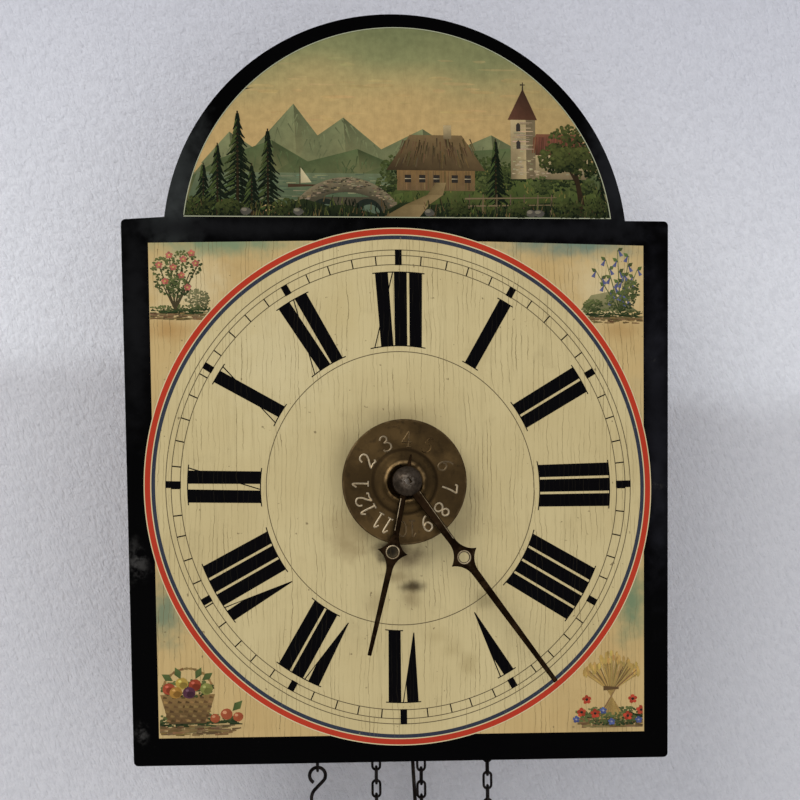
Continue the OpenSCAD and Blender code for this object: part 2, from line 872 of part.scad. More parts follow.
module rating_nut() {
    nut_height = 5;
    color("goldenrod") on_swing() translate([0, pendulum_y, -pendulum_len - bob_r - nut_height]) difference() {
        cylinder(r = 5, h = nut_height);
        translate([0, 0, -1]) cylinder(r = rod_r + push_fit, h = nut_height + 2);
    }
}

// Motion work and hands

module minute_set() {
    at(0, 0) rotate([0, minute_turn, 0]) children();
}

module cannon_pinion() {
    gear_back = front_front - gear_gap;
    color("gold") minute_set() difference() {
        union() {
            slab(gear_back, cannon_gear_t) rotate(minute_turn) gear(small_teeth, quarter_mod);
            slab(gear_back, gear_back - nut_back + nut_h / 2) circle(cannon_r);
        }
        slab(0, -nut_back + 2 * nut_h) circle(post_r + run_play);
    }
}

module minute_wheel() {
    pinion_t = minute_wheel_back - hour_wheel_back + gear_t;
    color("gold") at(0, -motion_reach) difference() {
        union() {
            slab(minute_wheel_back, gear_t) crossed(quarter_mod * minute_teeth / 2 - 4, 7, 4, 4)
                rotate(90 + 180 / minute_teeth) gear(minute_teeth, quarter_mod);
            slab(minute_wheel_back, pinion_t) rotate(90) gear(small_teeth, hour_mod);
        }
        slab(0, -shield_back) circle(stud_r + run_play);
    }
}

module motion_studs() {
    stud_len = front_back - cam_back + cam_t;
    color("silver") at(0, 0) {
        slab(front_back, stud_len) disc_at(0, -motion_reach, stud_r);
        slab(front_back, stud_len) disc_at(detent_x, detent_z, stud_r);
    }
}

module hour_set() {
    at(0, 0) rotate([0, hour_turn, 0]) children();
}

module hour_wheel() {
    color("gold") hour_set() difference() {
        union() {
            slab(hour_wheel_back, gear_t) rotate(hour_turn - 90 + 180 / hour_teeth)
                crossed(hour_mod * hour_teeth / 2 - 4, hour_pipe_r + 3, 4, 4) gear(hour_teeth, hour_mod);
            slab(hour_wheel_back, hour_wheel_back - hour_hand_back + hand_t + pipe_end) circle(hour_pipe_r);
        }
        slab(0, -nut_back) circle(cannon_r + run_play);
    }
}

// Star of a hand: four points with hollow sides and a round eye
star_h = 7.7;
star_l = 9.5;
eye_hole_r = 3.2;
module hand_outline(len, star_at, hub, bore, tail, tip_w) {
    root_w = 5;
    neck_w = 3.6;
    hollow = (pow(star_h - neck_w / 2, 2) + pow(star_l, 2)) / (2 * star_h - neck_w);
    difference() {
        union() {
            circle(hub);
            polygon(concat([[neck_w / 2, star_at - star_l], [-neck_w / 2, star_at - star_l], [-root_w / 2, 0]],
                tail > 0 ? [[-1.6, -1], [-0.3, -tail], [0.3, -tail], [1.6, -1]] : [], [[root_w / 2, 0]]));
            polygon([[-neck_w / 2, star_at - star_l - 0.1], [neck_w / 2, star_at - star_l - 0.1],
                [neck_w / 2, star_at + star_l], [tip_w / 2, len], [-tip_w / 2, len],
                [-neck_w / 2, star_at + star_l]]);
            translate([0, star_at]) difference() {
                translate([-star_h, -star_l]) square([2 * star_h, 2 * star_l]);
                for (sx = [-1, 1], sy = [-1, 1]) disc_at(sx * (neck_w / 2 + hollow), sy * star_l, hollow);
            }
        }
        circle(bore);
        disc_at(0, star_at, eye_hole_r);
    }
}

hour_star = 36;
hour_tail = 13.5;
minute_star = 47;
module hour_hand() {
    color("dimgray") hour_set() slab(hour_hand_back, hand_t)
        hand_outline(hour_hand_len, hour_star, hour_pipe_r + 2.6, hour_pipe_r + push_fit, hour_tail, 1.6);
}

module minute_hand() {
    color("dimgray") minute_set() slab(minute_hand_back, hand_t)
        hand_outline(minute_hand_len, minute_star, cannon_r + 3, cannon_r + push_fit, 0, 2.2);
}

// Domed collar with a squared end
module hand_nut() {
    dome_r = (pow(nut_r, 2) + pow(nut_h, 2)) / (2 * nut_h);
    color("gray") minute_set() difference() {
        intersection() {
            slab(nut_back, nut_h) circle(nut_r);
            translate([0, nut_back + dome_r - nut_h, 0]) sphere(dome_r);
        }
        slab(nut_back + 1, nut_h / 2 + 1 + push_fit) circle(cannon_r + push_fit);
        slab(nut_back, 2 * nut_h) square(2 * post_r - 1, center = true);
    }
}

// Alarm

module alarm_disc() {
    boss_r = 14.4;
    crest_r = 9.3;
    crest_h = 2.4;
    bore = hour_pipe_r + run_play;
    color("darkgoldenrod") at(0, 0) translate([0, disc_back, 0]) rotate([90, 0, 0]) rotate_extrude()
        polygon([[bore, disc_back - cam_back], [alarm_pipe_r, disc_back - cam_back], [alarm_pipe_r, 0],
            [disc_r - 0.3, 0], [disc_r, 0.3], [disc_r, disc_t - 0.3], [disc_r - 0.3, disc_t],
            [boss_r + 0.4, disc_t], [boss_r, disc_t + 0.5], [crest_r + 1.2, disc_t + crest_h - 0.5],
            [crest_r, disc_t + crest_h], [crest_r - 1, disc_t + crest_h - 0.4],
            [alarm_pipe_r + 0.8, disc_t + 1], [bore, disc_t + 1]]);
}

module alarm_cam() {
    color("gold") at(0, 0) slab(cam_back, cam_t) difference() {
        circle(cam_r);
        circle(alarm_pipe_r + push_fit);
        rotate(200) polygon([[cam_r - 3, -1], [cam_r + 2, -5], [cam_r + 2, 1], [cam_r - 3, 1]]);
    }
}

// Lever whose nose rides on the cam and whose wire reaches the hammer through the front plate
module alarm_detent() {
    nose = [-cam_r - detent_gap - detent_arm / 2 - detent_x, -detent_z];
    pin = [detent_pin_x, detent_pin_z];
    pin_back = front_back + 8;
    color("silver") at(detent_x, detent_z) {
        slab(cam_back, cam_t) difference() {
            union() {
                circle(stud_r + 2.5);
                for (end = [nose, pin]) {
                    rotate(atan2(end[1], end[0])) translate([0, -detent_arm / 2]) square([norm(end), detent_arm]);
                    translate(end) circle(detent_arm / 2);
                }
            }
            circle(stud_r + run_play);
        }
        slab(pin_back, pin_back - cam_back + cam_t) disc_at(pin[0], pin[1], hammer_wire_r);
    }
}

module alarm_arbor() {
    color("silver") at(-alarm_x, alarm_z) plain_arbor();
}

module alarm_chain_wheel() {
    color("peru") at(-alarm_x, alarm_z) chain_wheel(alarm_chain_r, alarm_links, alarm_peg_lead);
}

module alarm_click() {
    color("silver") at(-alarm_x, alarm_z) click();
}

module alarm_wheel() {
    left_nib = 90 + alarm_pallet_angle + alarm_lean;
    mid_tooth = 90 / alarm_teeth;
    color("gold") at(-alarm_x, alarm_z) slab(great_back, wheel_t) difference() {
        rotate(left_nib + mid_tooth - hammer_mid) escape_teeth_shape(alarm_r, alarm_teeth, 3);
        circle(arbor_r + push_fit);
    }
}

module on_hammer() {
    at(hammer_x, hammer_z) children();
}

module hammer_arbor() {
    color("silver") on_hammer() plain_arbor();
}

module hammer_pallets() {
    color("silver") on_hammer() slab(great_back + (pallet_t - wheel_t) / 2, pallet_t) difference() {
        rotate(alarm_lean - hammer_mid) translate([0, -hammer_reach])
            pallets(alarm_r, alarm_pallet_angle, arbor_r + 1);
        circle(arbor_r + push_fit);
    }
}

module bell_hammer() {
    collar_r = arbor_r + 0.8;
    head_z = bell_z + strike_h - hammer_z;
    color("dimgray") on_hammer() {
        slab(chain_y + 3, 6) washer(collar_r, arbor_r + push_fit);
        translate([0, chain_y, collar_r - 0.3]) cylinder(r = hammer_wire_r, h = head_z - collar_r);
        translate([-hammer_head_len / 2, chain_y, head_z]) rotate([0, 90, 0])
            cylinder(r = hammer_head_r, h = hammer_head_len);
    }
}

module bell() {
    color("goldenrod") at(bell_x, bell_z) translate([0, chain_y, 0]) difference() {
        sphere(bell_r);
        sphere(bell_r - bell_wall);
        translate([-bell_r - 1, -bell_r - 1, -2 * bell_r]) cube([2 * bell_r + 2, 2 * bell_r + 2, 2 * bell_r]);
        cylinder(r = bell_post_r + push_fit, h = bell_r + 1);
    }
}

module bell_stand() {
    seat_z = bell_lift + sqrt(pow(bell_r - bell_wall, 2) - pow(bell_post_r + 2, 2));
    crown_z = bell_lift + bell_r;
    color("dimgray") at(bell_x, top_z) translate([0, chain_y, 0]) {
        translate([0, 0, -board_t]) cylinder(r = bell_post_r, h = board_t + crown_z + 3);
        cylinder(r = bell_post_r + 3, h = 3);
        translate([0, 0, seat_z - 4]) cylinder(r = bell_post_r + 2, h = 4 - push_fit);
        translate([0, 0, crown_z + push_fit]) cylinder(r = bell_post_r + 3, h = 4, $fn = 6);
    }
}

// Chains

module link() {
    straight = link_len - link_w;
    for (s = [0, 180]) rotate([0, s, 0]) {
        translate([0, 0, straight / 2]) rotate([90, 0, 0]) rotate_extrude(angle = 180)
            translate([link_mean_r, 0]) circle(link_wire / 2);
        translate([link_mean_r, 0, -straight / 2]) cylinder(r = link_wire / 2, h = straight);
    }
}

// Links over a wheel, counted from its left side: below 0 they hang on the left, past half the wheel on the right
module chain(r, links, phase, first, last) {
    half = links / 2;
    step = 360 / links;
    for (i = [first:last]) {
        t = i + phase;
        turn = min(max(t, 0), half) * step;
        low = link_pitch * (t < 0 ? t : t > half ? half - t : 0);
        translate([-r * cos(turn), chain_y, r * sin(turn) + low]) rotate([0, turn, 0])
            rotate([0, 0, i % 2 == 0 ? 0 : 90]) link();
    }
}

going_last = going_links / 2 + weight_links;
module alarm_chain() {
    color("dimgray") at(-alarm_x, alarm_z)
        chain(alarm_chain_r, alarm_links, 0, -alarm_weight_links, alarm_links / 2 + alarm_ring_links);
}

module going_chain() {
    color("dimgray") at(great_x, great_z)
        chain(going_chain_r, going_links, going_phase, -going_ring_links, going_last);
}

// Place of the wire that hangs in the lowest link of a strand
function hang_z(count, wire) = -count * link_pitch - hang_step + link_wire / 2 + wire / 2 + link_slack;

module torus(r, wire, from, sweep) {
    rotate([90, 0, 0]) rotate([0, 0, from]) rotate_extrude(angle = sweep) translate([r, 0]) circle(wire / 2);
}

module pull_ring() {
    translate([0, chain_y, -ring_r]) torus(ring_r, ring_wire, 0, 360);
}

module alarm_pull_ring() {
    color("gray") at(-alarm_x + alarm_chain_r, alarm_z + hang_z(alarm_ring_links, ring_wire)) pull_ring();
}

module going_pull_ring() {
    color("gray") at(great_x - going_chain_r, great_z + hang_z(going_ring_links - going_phase, ring_wire))
        pull_ring();
}

// Hook of bent wire: a small open eye in the chain and a larger one below for the weight
hook_eye_sweep = 285;
hook_bow_sweep = 200;
hook_low = [hook_r * cos(45) - hook_shank * cos(45) + hook_low_r * cos(45),
    -hook_r * (1 + sin(45)) - hook_shank * cos(45) - hook_low_r * sin(45)];
module weight_hook() {
    start = [hook_r * cos(45), -hook_r * (1 + sin(45))];
    translate([start[0], chain_y, start[1]]) rotate([0, 45, 0]) {
        translate([-hook_r, 0, 0]) torus(hook_r, hook_wire, 0, hook_eye_sweep);
        translate([0, 0, -hook_shank]) cylinder(r = hook_wire / 2, h = hook_shank);
        translate([hook_low_r, 0, -hook_shank]) torus(hook_low_r, hook_wire, 180, hook_bow_sweep);
    }
}

module alarm_hook_place() {
    at(-alarm_x - alarm_chain_r, alarm_z + hang_z(alarm_weight_links, hook_wire)) children();
}

module going_hook_place() {
    at(great_x + going_chain_r, great_z + hang_z(weight_links + going_phase, hook_wire)) children();
}

module alarm_weight_hook() {
    color("dimgray") alarm_hook_place() weight_hook();
}

module going_weight_hook() {
    color("dimgray") going_hook_place() weight_hook();
}

// Cast weight under its hook, with an eye on top
weight_eye_r = 4.5;
module weight(r, h) {
    eye_wire = 2.4;
    eye_top = hook_low[1] - hook_low_r + hook_wire / 2 + eye_wire / 2 + link_slack;
    crown = eye_top - 2 * weight_eye_r - eye_wire / 2 + 1;
    translate([hook_low[0], chain_y, 0]) {
        translate([0, 0, eye_top - weight_eye_r]) rotate([0, 0, 90]) torus(weight_eye_r, eye_wire, 0, 360);
        translate([0, 0, crown]) rotate_extrude()
            polygon([[0, 0], [4, 0], [5, -3], [r * 0.6, -7], [r - 2, -12], [r, -18], [r, -h + 8],
                [r - 3, -h + 2], [r - 7, -h], [0, -h]]);
    }
}

module alarm_weight() {
    color("darkslategray") alarm_hook_place() weight(alarm_weight_r, alarm_weight_h);
}

module going_weight() {
    color("darkslategray") going_hook_place() weight(going_weight_r, going_weight_h);
}

shield_board();
shield_battens();
batten_screws();
top_board();
bottom_board();
front_plate();
rear_plate();
wall_spacers();
pivot_bushes();
hanger_strap();
hanger_screws();
left_door();
right_door();
left_door_knob();
right_door_knob();
door_hinge_pins();
great_arbor();
great_wheel();
going_chain_wheel();
going_click();
centre_arbor();
centre_wheel();
third_arbor();
third_wheel();
escape_arbor();
escape_wheel();
anchor_arbor();
anchor();
crutch();
suspension_cock();
pendulum_rod();
pendulum_bob();
rating_nut();
cannon_pinion();
minute_wheel();
motion_studs();
hour_wheel();
hour_hand();
minute_hand();
hand_nut();
alarm_disc();
alarm_cam();
alarm_detent();
alarm_arbor();
alarm_chain_wheel();
alarm_click();
alarm_wheel();
hammer_arbor();
hammer_pallets();
bell_hammer();
bell();
bell_stand();
alarm_chain();
going_chain();
alarm_pull_ring();
going_pull_ring();
alarm_weight_hook();
going_weight_hook();
alarm_weight();
going_weight();
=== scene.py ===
import json
import math
import random

import bmesh
import bpy
from mathutils import Matrix, Vector


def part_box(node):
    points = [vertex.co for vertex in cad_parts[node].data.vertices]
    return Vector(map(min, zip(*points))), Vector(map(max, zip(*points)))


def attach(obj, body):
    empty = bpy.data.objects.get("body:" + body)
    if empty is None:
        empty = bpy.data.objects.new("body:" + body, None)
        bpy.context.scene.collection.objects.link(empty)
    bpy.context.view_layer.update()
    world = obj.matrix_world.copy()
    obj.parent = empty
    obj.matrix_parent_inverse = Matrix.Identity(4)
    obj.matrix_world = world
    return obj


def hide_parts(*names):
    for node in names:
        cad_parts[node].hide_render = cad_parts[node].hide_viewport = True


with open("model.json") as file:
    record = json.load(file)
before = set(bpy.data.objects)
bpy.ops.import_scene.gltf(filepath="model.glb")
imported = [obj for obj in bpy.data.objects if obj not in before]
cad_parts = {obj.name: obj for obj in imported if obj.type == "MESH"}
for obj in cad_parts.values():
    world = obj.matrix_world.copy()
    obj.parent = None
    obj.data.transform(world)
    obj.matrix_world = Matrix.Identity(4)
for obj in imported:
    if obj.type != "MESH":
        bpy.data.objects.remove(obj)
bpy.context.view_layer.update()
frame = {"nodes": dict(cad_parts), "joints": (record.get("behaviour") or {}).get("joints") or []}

scene = bpy.context.scene
scene.view_settings.view_transform = "Standard"

# Shield board: one limewood board with an arched head, planed flat, lacquered black on face and edges.
# Its edges are broken with a file, and it sits on two battens that are screwed to the case.
# The lacquer has gone dull in patches and is scuffed, mostly along the left side.
dial = Vector(next(j for j in frame["joints"] if j["name"] == "minute_hand_turn")["pos_m"])
shield_low, shield_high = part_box("shield_board")
arch_r, arch_z, shoulder_z = 117.0, 118.9, 132.0
left_shoulder, right_shoulder = -137.5, 138.6
left_foot, right_foot = (-131.75, -136.5), (133.2, -137.9)
corner_r, shoulder_drop, pipe_r, shield_bevel = 2.2, 1.3, 6.5, 0.9
# Grey patches on the arch's haunches, along its shoulders and down both sides are painted sheen.
lacquer_sheen_patches = [(-112, 158, 26, 70, (0.030, 0.033, 0.032)), (112, 158, 26, 60, (0.0105, 0.011, 0.0125)),
                  (-80, 127, 90, 9, (0.0065, 0.0065, 0.007)), (80, 127, 90, 9, (0.006, 0.006, 0.007)),
                  (131, 30, 12, 130, (0.009, 0.009, 0.0115)), (-131, 80, 12, 80, (0.006, 0.006, 0.0065))]
lacquer_scuffs = [(-131, -38, 11, 16), (-128, -121, 6, 9), (131, -2, 4, 4), (129, 62, 3, 3)]


def on_dial(x, z, lift=0.0):
    """A place in metres from millimetres off the dial centre, lift in front of the shield."""
    return Vector((dial.x + x / 1000, shield_low.y - lift / 1000, dial.z + z / 1000))


def arc(cx, cz, r, first, last, steps):
    """Points of a circle, angles in degrees from the right and upwards."""
    turns = [math.radians(first + (last - first) * k / steps) for k in range(steps + 1)]
    return [(cx + r * math.cos(t), cz + r * math.sin(t)) for t in turns]


def piece(name, mesh, body, material, smooth=True):
    """Puts a finished mesh in the scene, on its body and with its material."""
    obj = bpy.data.objects.new(name, mesh)
    scene.collection.objects.link(obj)
    mesh.materials.clear()
    mesh.materials.append(material)
    for face in mesh.polygons:
        face.use_smooth = smooth
    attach(obj, body)
    return obj


def on_shield(name, mesh, material):
    """A flat piece that belongs to the shield: the board itself or a layer of paint on it."""
    return piece(name, mesh, "case", material, False)


def filled(loops, place, lift):
    """The flat area between an outline and its holes, as the start of a board or a layer."""
    bm = bmesh.new()
    edges = []
    for loop in loops:
        verts = [bm.verts.new(place(x, z, lift)) for x, z in loop]
        edges += [bm.edges.new((verts[k - 1], verts[k])) for k in range(len(verts))]
    bmesh.ops.triangle_fill(bm, use_beauty=True, edges=edges)
    return bm


def plain_mesh(name, bm):
    mesh = bpy.data.meshes.new(name)
    bm.to_mesh(mesh)
    bm.free()
    return mesh


def plate(name, outline, holes, place, back, front):
    """A flat board or sheet from an outline with holes, between two lifts, with closed edges."""
    loops = [outline] + holes
    bm = filled(loops, place, back)
    bm.verts.index_update()
    behind = bm.verts[:]
    forwards = Vector((0, -(front - back) / 1000, 0))
    ahead = [bm.verts.new(vert.co + forwards) for vert in behind]
    for face in bm.faces[:]:
        bm.faces.new([ahead[vert.index] for vert in face.verts])
    first = 0
    for loop in loops:
        for k in range(len(loop)):
            a, b = first + (k - 1) % len(loop), first + k
            bm.faces.new((behind[a], behind[b], ahead[b], ahead[a]))
        first += len(loop)
    bmesh.ops.recalc_face_normals(bm, faces=bm.faces)
    return plain_mesh(name, bm)


def soften(obj, width, segments=2):
    """Breaks the sharp edges of a plate, as a file does."""
    bevel = obj.modifiers.new("broken_edges", "BEVEL")
    bevel.width = width / 1000
    bevel.segments = segments
    bevel.limit_method = "ANGLE"
    bevel.angle_limit = math.radians(35)


def add(tree, kind, values=None, **settings):
    """A shader or geometry node with its settings and its inputs, which are values or sockets."""
    node = tree.nodes.new(kind)
    for key, value in settings.items():
        setattr(node, key, value)
    for key, value in (values or {}).items():
        if isinstance(value, bpy.types.NodeSocket):
            tree.links.new(value, node.inputs[key])
        else:
            node.inputs[key].default_value = value
    return node


def blend(tree, share, first, second):
    """First colour where share is 0, second where it is 1."""
    ends = [c if isinstance(c, bpy.types.NodeSocket) else (*c, 1.0) for c in (first, second)]
    return add(tree, "ShaderNodeMix", {0: share, 6: ends[0], 7: ends[1]}, data_type="RGBA").outputs[2]


def noise(tree, where, scale, detail=4.0, rough=0.55, stretch=None):
    """Cloudy noise between 0 and 1, finer along the axes with a higher stretch."""
    if stretch:
        where = add(tree, "ShaderNodeMapping", {"Vector": where, "Scale": stretch}).outputs[0]
    values = {"Vector": where, "Scale": scale, "Detail": detail, "Roughness": rough}
    return add(tree, "ShaderNodeTexNoise", values).outputs[0]


def step(tree, value, low, high, start=0.0, end=1.0):
    """Smooth change from start to end while value goes from low to high."""
    values = {"Value": value, "From Min": low, "From Max": high, "To Min": start, "To Max": end}
    return add(tree, "ShaderNodeMapRange", values, interpolation_type="SMOOTHSTEP").outputs[0]


def maths(tree, operation, *values):
    """One step of arithmetic on numbers or sockets."""
    return add(tree, "ShaderNodeMath", dict(enumerate(values)), operation=operation).outputs[0]


def times(tree, first, second):
    return maths(tree, "MULTIPLY", first, second)


def vectors(tree, operation, *values):
    """One step of arithmetic on places."""
    return add(tree, "ShaderNodeVectorMath", dict(enumerate(values)), operation=operation).outputs[0]


def length(tree, vector):
    return add(tree, "ShaderNodeVectorMath", {0: vector}, operation="LENGTH").outputs["Value"]


def finish(name, **sockets):
    """A new material with its shader, its object coordinates and its fixed shader values."""
    material = bpy.data.materials.new(name)
    material.use_nodes = True
    tree = material.node_tree
    shader = tree.nodes["Principled BSDF"]
    for key, value in sockets.items():
        shader.inputs[key.replace("_", " ")].default_value = value
    where = add(tree, "ShaderNodeTexCoord").outputs["Object"]
    return material, tree, shader, where


def wire(tree, shader, colour=None, rough=None, height=None, depth=0.0002, strength=0.5):
    """Links a colour, a roughness and a height for the bump to the shader."""
    if colour:
        tree.links.new(colour, shader.inputs["Base Color"])
    if rough:
        tree.links.new(rough, shader.inputs["Roughness"])
    if height:
        bump = add(tree, "ShaderNodeBump", {"Strength": strength, "Distance": depth, "Height": height})
        tree.links.new(bump.outputs[0], shader.inputs["Normal"])


def group(name, inputs, outputs, kind="ShaderNodeTree"):
    """An empty node group with named inputs and outputs, each with its kind of socket."""
    tree = bpy.data.node_groups.new(name, kind)
    for side, sockets in (("INPUT", inputs), ("OUTPUT", outputs)):
        for label, socket in sockets.items():
            tree.interface.new_socket(name=label, in_out=side, socket_type="NodeSocket" + socket)
    return tree, tree.nodes.new("NodeGroupInput").outputs, tree.nodes.new("NodeGroupOutput").inputs


def soft_spot_group():
    """A soft round mark, 1 in its middle and 0 at its rim, its edge broken by noise."""
    tree, given, result = group("soft_spot", {"Vector": "Vector", "Centre": "Vector", "Size": "Vector"},
                                {"Mask": "Float"})
    rough = noise(tree, given["Vector"], 140.0)
    off = vectors(tree, "SUBTRACT", given["Vector"], given["Centre"])
    far = length(tree, vectors(tree, "DIVIDE", off, given["Size"]))
    far = maths(tree, "MULTIPLY_ADD", rough, 0.9, far)
    tree.links.new(step(tree, far, 0.45, 1.35, 1.0, 0.0), result["Mask"])
    return tree


soft_spot = soft_spot_group()


def spot(tree, where, x, z, wide, high):
    """The mask of one soft mark on the shield, placed in millimetres from the dial centre."""
    values = {"Vector": where, "Centre": on_dial(x, z), "Size": (wide / 1000, 1.0, high / 1000)}
    return add(tree, "ShaderNodeGroup", values, node_tree=soft_spot).outputs["Mask"]


def black_lacquer():
    """Old black lacquer: grey patches of painted sheen, scuffs through to the dull coat below, and dust."""
    material, tree, shader, where = finish("black_lacquer", Specular_IOR_Level=0.012)
    cloud = noise(tree, where, 22.0, 6.0)
    sheen_mottle = step(tree, cloud, 0.3, 0.6, 0.5, 1.0)
    rubbing_and_highlight = step(tree, noise(tree, where, 150.0, 5.0, 0.7), 0.46, 0.66, 0.0, 0.8)
    dust = step(tree, noise(tree, where, 900.0, 2.0), 0.68, 0.78, 0.0, 0.3)
    colour = blend(tree, cloud, (0.0002, 0.0002, 0.0002), (0.0007, 0.0006, 0.0008))
    for x, z, wide, high, sheen in lacquer_sheen_patches:
        colour = blend(tree, times(tree, sheen_mottle, spot(tree, where, x, z, wide, high)), colour, sheen)
    for x, z, wide, high in lacquer_scuffs:
        scuff = times(tree, rubbing_and_highlight, spot(tree, where, x, z, wide, high))
        colour = blend(tree, scuff, colour, (0.045, 0.043, 0.040))
    colour = blend(tree, dust, colour, (0.012, 0.011, 0.010))
    height = noise(tree, where, 260.0, 3.0, 0.6)
    wire(tree, shader, colour, step(tree, cloud, 0.3, 0.75, 0.3, 0.52), height, depth=0.00015, strength=0.25)
    return material


shoulder_turn = math.degrees(math.asin((shoulder_z - arch_z) / arch_r))
left_top = shoulder_z - shoulder_drop
shield_outline = (arc(left_foot[0] + corner_r, left_foot[1] + corner_r, corner_r, 181, 270, 5)
                  + arc(right_foot[0] - corner_r, right_foot[1] + corner_r, corner_r, 270, 359, 5)
                  + arc(right_shoulder - corner_r, shoulder_z - corner_r, corner_r, -1, 90, 5)
                  + arc(0, arch_z, arch_r, shoulder_turn, 180 - shoulder_turn, 96)
                  + arc(left_shoulder + corner_r, left_top - corner_r, corner_r, 93, 181, 5))
shield_deep = (shield_high.y - shield_low.y) * 1000
pipe_hole = arc(0, 0, pipe_r, 0, 352.5, 47)
board = plate("painted_shield_board", shield_outline, [pipe_hole], on_dial, -shield_deep, 0.0)
shield_board = on_shield("painted_shield_board", board, black_lacquer())
soften(shield_board, shield_bevel, 3)
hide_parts("shield_board")

# Square panel and dial ground: oil paint in a warm cream, laid on the black lacquer with a brush.
# The board has shrunk across its width, so the paint is cracked in fine upright lines.
# The corners have gone warmer and carry blue-green tints round the small pictures.
panel_corners = [(-119.6, -123.3), (121.3, -124.9), (125.5, 119.4), (44.6, 120.9), (-44.2, 120.6),
                 (-124.3, 119.0)]
panel_lift, ground_lift, ground_r = 0.06, 0.12, 124.2
paint_wide, paint_tall, paint_skew, paint_lean = 0.9942, 1.0058, 0.0022, 1.32e-4
paint_side, paint_drop = 0.25, 3.05
crack_spacing = 0.0024
teal, umber, pale = (0.14, 0.175, 0.105), (0.17, 0.12, 0.052), (0.53, 0.44, 0.25)
# The first two of these browns are painted shadow: of the alarm disc and of the minute hand.
painted_disc_shadow, painted_hand_shadow, honey = (0.25, 0.185, 0.085), (0.30, 0.23, 0.10), (0.44, 0.34, 0.16)
corner_marks = [(-104, 98, 32, 30, 0.8, pale), (106, 98, 32, 30, 0.7, pale), (-116, -62, 17, 28, 0.95, teal),
                (116, -60, 16, 34, 0.95, (0.125, 0.175, 0.095)),
                (-88, 119, 64, 11, 1.0, (0.165, 0.21, 0.115)), (88, 120, 64, 12, 1.0, (0.13, 0.175, 0.125)),
                (-113, 40, 12, 30, 0.35, (0.36, 0.30, 0.15)),
                (-114, 76, 20, 10, 0.75, (0.34, 0.19, 0.06)), (112, 77, 18, 10, 0.7, (0.33, 0.20, 0.07)),
                (-100, -119, 34, 9, 0.5, umber), (102, -121, 30, 8, 0.5, umber),
                (121, 20, 8, 60, 0.4, (0.33, 0.29, 0.16))]
# The dark marks just below the alarm disc, behind the hour hand's eye and off the disc's lower left
# are painted shadow of the disc. The brown band towards the lower right is painted shadow of the minute hand.
dial_marks = [(-60, 62, 50, 50, 0.4, (0.56, 0.485, 0.285)), (-30, 84, 20, 26, 0.6, (0.44, 0.35, 0.165)),
              (5.3, -51.6, 11, 5, 1.0, (0.05, 0.036, 0.017)), (4.5, -57, 8, 9, 0.55, umber),
              (-2, -46.5, 14, 5, 0.5, umber), (1.5, -37, 20, 9, 0.85, (0.15, 0.11, 0.055)),
              (-3, -33, 18, 7, 0.9, (0.075, 0.052, 0.025)), (-6.6, -34.6, 9, 9, 1.0, (0.014, 0.010, 0.006)),
              (-26, -24, 20, 18, 0.55, painted_disc_shadow), (30, -20, 13, 16, 0.4, (0.29, 0.225, 0.11)),
              (0, 34, 44, 9, 0.2, umber), (-28, 18, 10, 22, 0.2, umber),
              (42, -58.5, 13, 7, 0.6, (0.22, 0.18, 0.085)), (-13, -60, 8, 10, 0.3, umber),
              (52, -44, 30, 34, 0.2, honey), (-25, -33, 12, 10, 0.5, painted_disc_shadow),
              (17, -76, 12, 7, 0.3, painted_hand_shadow), (25, -83, 9, 8, 0.4, painted_hand_shadow), (33, -90, 8, 10, 0.5, painted_hand_shadow)]


def on_paint(x, z, lift=0.0):
    """A place of the painted dial. It was struck by hand, a little low on the board and taller than wide."""
    reach = 1 - paint_lean * z
    across = (paint_wide * x - paint_skew * z) / reach + paint_side
    return on_dial(across, (paint_tall * z - paint_skew * x - paint_drop) / reach, lift)


def craquelure_group():
    """Fine upright cracks in old paint: wavy lines at uneven distances, broken into stretches."""
    tree, given, result = group("craquelure", {"Vector": "Vector", "Spacing": "Float"},
                                {"Mask": "Float", "Grain": "Float"})
    where = given["Vector"]
    sway = noise(tree, where, 46.0, 3.0, 0.5, (1.0, 1.0, 0.55))
    shake = noise(tree, where, 330.0, 2.0, 0.5)
    across = add(tree, "ShaderNodeSeparateXYZ", {0: where}).outputs["X"]
    across = maths(tree, "MULTIPLY_ADD", sway, 0.0075, across)
    across = maths(tree, "MULTIPLY_ADD", shake, 0.0011, across)
    across = maths(tree, "DIVIDE", across, given["Spacing"])
    edge = add(tree, "ShaderNodeTexVoronoi", {"W": across, "Scale": 1.0}, voronoi_dimensions="1D",
               feature="DISTANCE_TO_EDGE").outputs["Distance"]
    lines = step(tree, edge, 0.01, 0.10, 1.0, 0.0)
    broken = step(tree, noise(tree, where, 1.0, 4.0, 0.6, (300.0, 1.0, 46.0)), 0.38, 0.60)
    strong = step(tree, noise(tree, where, 1.0, 3.0, 0.6, (95.0, 1.0, 14.0)), 0.34, 0.66, 0.25, 1.0)
    tree.links.new(times(tree, times(tree, lines, broken), strong), result["Mask"])
    tree.links.new(noise(tree, where, 1.0, 5.0, 0.6, (700.0, 1.0, 18.0)), result["Grain"])
    return tree


craquelure = craquelure_group()


def cracks(tree, where):
    """The masks of the cracks and of the brush grain in the shield's paint."""
    node = add(tree, "ShaderNodeGroup", {"Vector": where, "Spacing": crack_spacing}, node_tree=craquelure)
    return node.outputs["Mask"], node.outputs["Grain"]


